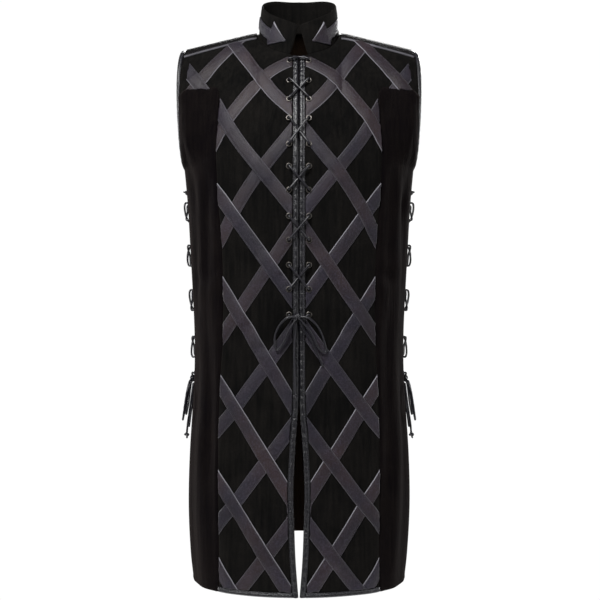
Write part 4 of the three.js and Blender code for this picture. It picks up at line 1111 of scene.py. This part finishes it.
dark_thread = waxed_thread("waxed_dark_thread", "#0e0d10")
grey_thread = waxed_thread("waxed_grey_thread", "#26252b")
for name, prefix, thread, spacing, length in (
        ("strip_stitches_left", "lattice_left", dark_thread, 4.6, 0.0030),
        ("strip_stitches_right", "lattice_right", dark_thread, 4.6, 0.0030),
        ("binding_stitches", "front_edge,hem_,armhole_", grey_thread, 4.2, 0.0029),
        ("collar_and_strap_stitches", "shoulder,arrow", dark_thread, 4.2, 0.0028)):
    lines = [line for piece, found in seam_lines.items() for line in found
             if piece.startswith(tuple(prefix.split(",")))]
    place, normal, tangent = even_stitches(lines, spacing)
    repeated(name, place + normal * 0.12, normal, tangent, stitch_item,
             {"Stitch length": length, "Thread width": 0.0008, "Thread rise": 0.0007}, thread)


# ---- Front eyelets ----
# Twelve pairs of nickel eyelets, 11 mm over the flange with a 6.3 mm hole, seated on the strips
# and suede beside the edge binding. The flange is rolled over a short barrel.
eyelet_heights = [-46, -85, -122, -158, -205, -244, -286, -332, -374, -418, -461, -506]
eyelet_from_centre = 17.6


def nickel(name):
    """Plated nickel, worn a little dull: fine turning marks and small dark scuffs."""
    material, tree = new_material(name)
    place = add_node(tree, "ShaderNodeTexCoord")
    scuff = add_node(tree, "ShaderNodeTexNoise", {
        "Vector": place.outputs["Object"], "Scale": 600.0, "Detail": 3.0})
    gloss = add_node(tree, "ShaderNodeMapRange", {
        "Value": scuff.outputs["Fac"], "To Min": 0.24, "To Max": 0.5})
    shade = add_node(tree, "ShaderNodeMapRange", {
        "Value": scuff.outputs["Fac"], "From Min": 0.3, "From Max": 0.7,
        "To Min": 0.75, "To Max": 1.1})
    tint = add_node(tree, "ShaderNodeVectorMath", {
        0: linear("#494643")[:3], "Scale": shade.outputs["Result"]}, operation="SCALE")
    shader = add_node(tree, "ShaderNodeBsdfPrincipled", {
        "Base Color": tint.outputs["Vector"], "Roughness": gloss.outputs["Result"], "Metallic": 1.0})
    add_node(tree, "ShaderNodeOutputMaterial", {"Surface": shader.outputs["BSDF"]})
    return material


def eyelet_item(tree, given):
    rail = add_node(tree, "GeometryNodeCurvePrimitiveCircle", {
        "Resolution": 32, "Radius": given.outputs["Flange middle radius"]})
    bead = add_node(tree, "GeometryNodeCurvePrimitiveCircle", {
        "Resolution": 10, "Radius": given.outputs["Flange half width"]})
    flat = add_node(tree, "GeometryNodeTransform", {
        "Geometry": bead.outputs["Curve"], "Scale": (1.0, 0.62, 1.0)})
    flange = add_node(tree, "GeometryNodeCurveToMesh", {
        "Curve": rail.outputs["Curve"], "Profile Curve": flat.outputs["Geometry"]})
    tube = add_node(tree, "GeometryNodeMeshCylinder", {
        "Vertices": 32, "Radius": given.outputs["Barrel radius"],
        "Depth": given.outputs["Barrel depth"]},
        fill_type="NONE")
    lowered = add_node(tree, "GeometryNodeTransform", {
        "Geometry": tube.outputs["Mesh"], "Translation": (0.0, 0.0, -0.0012)})
    joined = add_node(tree, "GeometryNodeJoinGeometry")
    tree.links.new(flange.outputs["Mesh"], joined.inputs["Geometry"])
    tree.links.new(lowered.outputs["Geometry"], joined.inputs["Geometry"])
    return joined.outputs["Geometry"]


def seated(places, normals, reach=4.6, probe=12):
    """Height over the suede at which a ring rests on whatever leather lies there, felt from
    probe millimetres above it at twelve places round the ring."""
    depsgraph = bpy.context.evaluated_depsgraph_get()
    trees = [BVHTree.FromObject(piece, depsgraph) for piece in bpy.context.scene.objects
             if piece.name.startswith(("lattice_", "front_edge"))]
    heights = []
    for place, normal in zip(places, normals):
        aim = Vector((-normal).tolist())
        side_way = np.cross(normal, [0, 0, 1.0])
        side_way /= np.linalg.norm(side_way)
        up_way = np.cross(side_way, normal)
        best = 0.0
        for turn in np.linspace(0, 2 * math.pi, 12, endpoint=False):
            over = place + reach * (math.cos(turn) * side_way + math.sin(turn) * up_way)
            start = Vector(((over + normal * probe) / 1000).tolist())
            for bvh in trees:
                distance = bvh.ray_cast(start, aim, 0.014)[3]
                if distance is not None:
                    best = max(best, probe - distance * 1000)
        heights.append(best)
    return np.array(heights)


eyelet_holes = {}
u, v = solve_front(np.full(len(eyelet_heights), eyelet_from_centre), np.array(eyelet_heights, float))
for side, label in sides:
    eyelet_holes[side] = front_skin(side, u, v)
places = np.vstack([eyelet_holes[side][0] for side in (-1, 1)])
normals = np.vstack([eyelet_holes[side][1] for side in (-1, 1)])
seats = np.clip(seated(places, normals) + 0.45, 0.8, 4.2)
nickel_plate = nickel("dull_nickel")
repeated("front_eyelets", places + normals * seats[:, None], normals,
         np.tile([1.0, 0.0, 0.0], (len(places), 1)), eyelet_item,
         {"Flange middle radius": 0.0043, "Flange half width": 0.00115, "Barrel radius": 0.0032,
          "Barrel depth": 0.0024}, nickel_plate)


# ---- Laces ----
# Round leather lace, 3.8 mm, pinched and creased where it turns. The front lace goes across at
# the top, runs down behind pairs of eyelets, crosses outside between them, and ends in a bow.
lace_thick, lace_inside = 3.8, -5.5


def lace_material(name):
    """Soft waxed leather lace: long creases along it with painted shade in them, and a low sheen on the
    crowns, partly a painted sheen.
    """
    material, tree = new_material(name)
    along = add_node(tree, "ShaderNodeUVMap", uv_map="UVMap")
    stretched = add_node(tree, "ShaderNodeMapping", {"Vector": along.outputs["UV"],
        "Scale": (520.0, 90.0, 1.0)})
    creases = add_node(tree, "ShaderNodeTexNoise", {
        "Vector": stretched.outputs["Vector"], "Scale": 1.0, "Detail": 4.0, "Roughness": 0.6})
    # The crease noise lightens the colour on the crowns and darkens it in the creases: painted sheen
    # and painted shade.
    tint = add_node(tree, "ShaderNodeMapRange", {
        "Value": creases.outputs["Fac"], "From Min": 0.3, "From Max": 0.7,
        "To Min": 0.6, "To Max": 1.35})
    colour = add_node(tree, "ShaderNodeVectorMath", {
        0: linear("#0c0b10")[:3], "Scale": tint.outputs["Result"]}, operation="SCALE")
    bump = add_node(tree, "ShaderNodeBump", {
        "Height": creases.outputs["Fac"], "Strength": 0.6, "Distance": 0.0004})
    shader = add_node(tree, "ShaderNodeBsdfPrincipled", {
        "Base Color": colour.outputs["Vector"], "Roughness": 0.38, "Normal": bump.outputs["Normal"],
        "Specular IOR Level": 0.28})
    add_node(tree, "ShaderNodeOutputMaterial", {"Surface": shader.outputs["BSDF"]})
    return material


lace_leather = lace_material("waxed_leather_lace")


def cord_line(route, step=1.4):
    """A smooth line that stays close to its points however unevenly they are spaced."""
    p = np.asarray(route, float)
    p = np.vstack([2 * p[0] - p[1], p, 2 * p[-1] - p[-2]])
    t = np.linspace(0, 1, 20, endpoint=False)[:, None]
    runs = []
    for a, b, c, d in zip(p[:-3], p[1:-2], p[2:-1], p[3:]):
        before, here, after = (max(np.linalg.norm(y - x) ** 0.5, 0.01)
                               for x, y in ((a, b), (b, c), (c, d)))
        m = ((b - a) / before - (c - a) / (before + here) + (c - b) / here) * here
        n = ((c - b) / here - (d - b) / (here + after) + (d - c) / after) * here
        runs.append((2 * b - 2 * c + m + n) * t ** 3 + (3 * c - 3 * b - 2 * m - n) * t ** 2 + m * t + b)
    return resampled(np.vstack(runs + [p[-2:-1]]), step)[0]


def cord_tube(line, thick=lace_thick, seed=0.0, around=14):
    """Points, faces and UVs (metres around and along) of a closed round tube along a line."""
    tangent = np.gradient(line, axis=0)
    tangent /= np.linalg.norm(tangent, axis=1, keepdims=True)
    side_way = np.cross(tangent[0], [0.3, 0.9, 0.2])
    side_ways = []
    for way in tangent:
        side_way = side_way - way * (side_way @ way)
        side_way = side_way / np.linalg.norm(side_way)
        side_ways.append(side_way)
    side_ways = np.array(side_ways)
    up_ways = np.cross(tangent, side_ways)
    along = np.concatenate([[0], np.linalg.norm(np.diff(line, axis=0), axis=1).cumsum()])
    width = thick / 2 * (1 + 0.05 * np.sin(along / 2.6 + seed) * np.sin(along / 9.0 + 2 * seed))
    from_end = np.minimum(along, along[-1] - along)
    width = width * np.sqrt(np.clip(0.35 + from_end / 2.2, 0, 1))
    angle = np.linspace(0, 2 * math.pi, around, endpoint=False)
    lean = 0.07 * np.sin(along / 14.0 + seed)[:, None]
    ring = (np.cos(angle)[None, :, None] * side_ways[:, None, :] * (1 + lean)[..., None]
            + np.sin(angle)[None, :, None] * up_ways[:, None, :] * (1 - lean)[..., None])
    verts = (line[:, None, :] + ring * width[:, None, None]).reshape(-1, 3)
    count = len(line)
    faces = [(i * around + j, i * around + (j + 1) % around, (i + 1) * around + (j + 1) % around,
              (i + 1) * around + j) for i in range(count - 1) for j in range(around)]
    verts = np.vstack([verts, line[:1] - tangent[:1] * 0.4, line[-1:] + tangent[-1:] * 0.4])
    faces += [(count * around, (j + 1) % around, j) for j in range(around)]
    last = (count - 1) * around
    faces += [(count * around + 1, last + j, last + (j + 1) % around) for j in range(around)]
    folded = np.minimum(angle, 2 * math.pi - angle) * thick / 2 / 1000
    uvs = np.stack([np.tile(folded, count), np.repeat(along / 1000, around)], axis=1)
    uvs = np.vstack([uvs, [[0, 0]], [[0, along[-1] / 1000]]])
    return verts, faces, uvs


def cord_piece(name, tubes, nodes):
    """One piece from several tubes."""
    verts, faces, uvs, start = [], [], [], 0
    for tube_verts, tube_faces, tube_uvs in tubes:
        verts.append(tube_verts)
        uvs.append(tube_uvs)
        faces += [tuple(k + start for k in face) for face in tube_faces]
        start += len(tube_verts)
    return add_piece(name, np.vstack(verts), faces, [lace_leather], nodes, np.vstack(uvs))


def over_front(place):
    """A point over the fronts, at a distance from the centre, a height and a stand-off."""
    x, z, stand_off = place
    u, v = solve_front(np.array([max(abs(x), 0.5)]), np.array([float(z)]))
    point, normal = front_skin(-1 if x < 0 else 1, u, v)
    point = point[0] + normal[0] * stand_off
    point[0] = x
    return point


def strand(holes, start, crossing, place, outside):
    """Half a lacing: in at the first hole, out at the second, across to the third, and so on."""
    route = []
    for k, z in enumerate(holes):
        way = start if k // 2 % 2 == 0 else -start
        ends = [place(way, k, outside), place(way, k, lace_inside)]
        route += ends if k % 2 == 0 else ends[::-1]
        if k % 2 == 1 and k < len(holes) - 1:
            route.append(crossing((z + holes[k + 1]) / 2, start))
    return route


def knot_wraps(centre, out, across, half_depth, half_height, seed):
    """Two turns of lace pulled tight round the middle of a bow, one a little askew."""
    up = np.cross(out, across)
    tubes = []
    for offset, tilt in ((-2.4, 0.22), (2.2, -0.3)):
        turn = np.linspace(0, 2 * math.pi, 30, endpoint=False)
        turn = np.concatenate([turn, turn[:2]])
        line = (centre + out * (half_depth * np.cos(turn))[:, None]
                + up * (half_height * np.sin(turn))[:, None]
                + across * (offset + tilt * half_height * np.sin(turn + 0.6))[:, None])
        tubes.append(cord_tube(line, seed=seed + offset))
    return tubes


def tip_knot(name, end, along, size=1.25):
    """A tight overhand knot at a lace's tip, with a short end beyond it."""
    side_way = np.cross(along, [0.2, 1.0, 0.1])
    side_way /= np.linalg.norm(side_way)
    third = np.cross(along, side_way)
    turn = np.linspace(0, 2 * math.pi, 46)
    flat = [np.sin(turn) + 2 * np.sin(2 * turn), np.cos(turn) - 2 * np.cos(2 * turn), -np.sin(3 * turn)]
    line = (end + along * 1.5 + (side_way * flat[0][:, None] + along * flat[1][:, None] * 0.85
                                 + third * flat[2][:, None] * 1.1) * size)
    stub = end + along * np.linspace(0, 9.5, 8)[:, None] + side_way * np.linspace(0, 1.4, 8)[:, None]
    return cord_piece(name, [cord_tube(line, 3.1, 1.0), cord_tube(stub, 3.4, 2.0)], [])


def tail_piece(name, route, node, is_knotted):
    """A lace's free end: from under the bow, hanging against the leather."""
    line = cord_line(route)
    piece = cord_piece(name, [cord_tube(line, seed=len(name))], [node])
    end_way = line[-1] - line[-4]
    end_way /= np.linalg.norm(end_way)
    knots = [tip_knot(f"{name}_tip_knot", line[-1] - end_way * 2, end_way)] if is_knotted else []


bow_knot = (-2, -509, 8.4)
bow_loops = [
    # distance from the centre, height, stand-off
    [(-20, -511, 11), (-34, -524, 10), (-43, -548, 8), (-39, -568, 8), (-28, -556, 9), (-17, -532, 11)],
    [(16, -511, 11), (31, -524, 11), (43, -548, 10), (47, -572, 10), (36, -566, 11), (20, -536, 12)],
]
bow_tails = [
    [(-5.5, -516.8, 5.6), (-6, -535, 5.8), (-8, -560, 6), (-8, -590, 6), (-7, -620, 6), (-6, -650, 6)],
    [(1, -516.8, 5.6), (9, -534, 5.6), (22, -553, 5.8), (33, -575, 6.3), (42, -597, 6.3)],
]


def front_hole(way, k, stand_off):
    return eyelet_holes[way][0][k] + eyelet_holes[way][1][k] * stand_off


front_cross = lambda z, start: over_front((0, z, 9.4 if start < 0 else 4.9))
left_strand, right_strand = (strand(eyelet_heights, start, front_cross, front_hole, 6.8)
                             for start in (-1, 1))
first, last = (over_front((bow_knot[0] + reach, bow_knot[1] + 1, bow_knot[2]))
               for reach in (13.9, -13.9))
route = [first, *left_strand[::-1], over_front((0, eyelet_heights[0] + 4, 6.8)), *right_strand, last]
cord_piece("front_lacing", [cord_tube(cord_line(route), seed=0.3)], ["front_lace"])

centre = over_front(bow_knot)
tubes = [cord_tube(cord_line([centre, *map(over_front, loop), centre]), seed=k)
         for k, loop in enumerate(bow_loops)]
tubes += knot_wraps(centre, np.array([0.0, -1.0, 0.0]), np.array([1.0, 0.0, 0.0]), 3.7, 5.2, 0.5)
tubes.append(cord_tube(np.linspace(centre - [6.4, 0, 0], centre + [6.4, 0, 0], 9), 6.4, 0.2))
cord_piece("front_bow_knot", tubes, ["front_bow"])
for k, tail in enumerate(bow_tails):
    tail_piece(f"front_lace_end_{k + 1}", [over_front(place) for place in tail],
               f"front_tail_{k + 1}", k == 0)


# ---- Side laces ----
# The same lace closes each side from the armhole down, 14 mm in from the edges of side front
# and back, and ends in a bow at the hip.
side_eyelets = [-276, -297, -329, -377, -415, -461, -499, -549, -587, -617]
side_knot = (0, -629, 4.8)
side_loops = [
    # place along Y, height, stand-off
    [(-14, -634, 9), (-24, -652, 12), (-25, -684, 15), (-18, -706, 17), (-10, -690, 16),
     (-6, -656, 13)],
    [(14, -634, 9), (25, -652, 12), (27, -682, 14), (20, -700, 16), (12, -684, 16), (7, -656, 13)],
]
side_tails = [
    [(-4.5, -638, 3.1), (-9, -655, 4), (-12, -685, 6), (-12, -712, 8), (-9, -735, 9)],
    [(4.5, -638, 3.1), (9, -655, 4), (14, -680, 5), (15, -705, 7), (13, -724, 8)],
]
for side, label in sides:
    word = "left" if side < 0 else "right"
    holes = {}
    heights, hole_inset = np.array(side_eyelets, float), 14
    for way, worn, plain in ((-1, front_skin, front_point), (1, back_skin, back_point)):
        edge = plain(np.ones(len(heights)), heights)
        inset = bisect(0.8, 1, lambda k: np.linalg.norm(plain(k, heights) - edge, axis=1) > hole_inset,
                       heights)
        holes[way] = worn(side, inset, heights)

    def over_side(place):
        y, z, stand_off = place
        return np.array([side * (float(read(girths, "z", "half", float(z))) + stand_off), y, z])

    def side_hole(way, k, stand_off):
        return holes[way][0][k] + holes[way][1][k] * stand_off

    side_cross = lambda z, start: over_side((0, z, 7.2 if start < 0 else 2.8))
    strands = [strand(side_eyelets, start, side_cross, side_hole, 3.6) for start in (-1, 1)]
    first, last = over_side((-11, -626, 3.2)), over_side((11, -626, 3.2))
    route = [first, *strands[0][::-1], over_side((0, side_eyelets[0] + 2, 3.6)), *strands[1], last]
    cord_piece(f"side_lacing_{label}", [cord_tube(cord_line(route), seed=side)], [f"side_lace_{word}"])
    centre = over_side(side_knot)
    tubes = [cord_tube(cord_line([centre, *map(over_side, loop), centre]), seed=k + 5)
             for k, loop in enumerate(side_loops)]
    tubes += knot_wraps(centre, np.array([float(side), 0.0, 0.0]), np.array([0.0, 1.0, 0.0]),
                        3.5, 5.0, 1.5)
    tubes.append(cord_tube(np.linspace(centre - [0, 6, 0], centre + [0, 6, 0], 9), 5.8, 0.2))
    cord_piece(f"side_bow_knot_{label}", tubes, [f"side_{word}_bow"])
    for k, tail in enumerate(side_tails):
        tail_piece(f"side_lace_end_{label}_{k + 1}", [over_side(place) for place in tail],
                   f"side_{word}_tail_{k + 1}", k == 0)


dressed_box = [list(corner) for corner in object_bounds()]
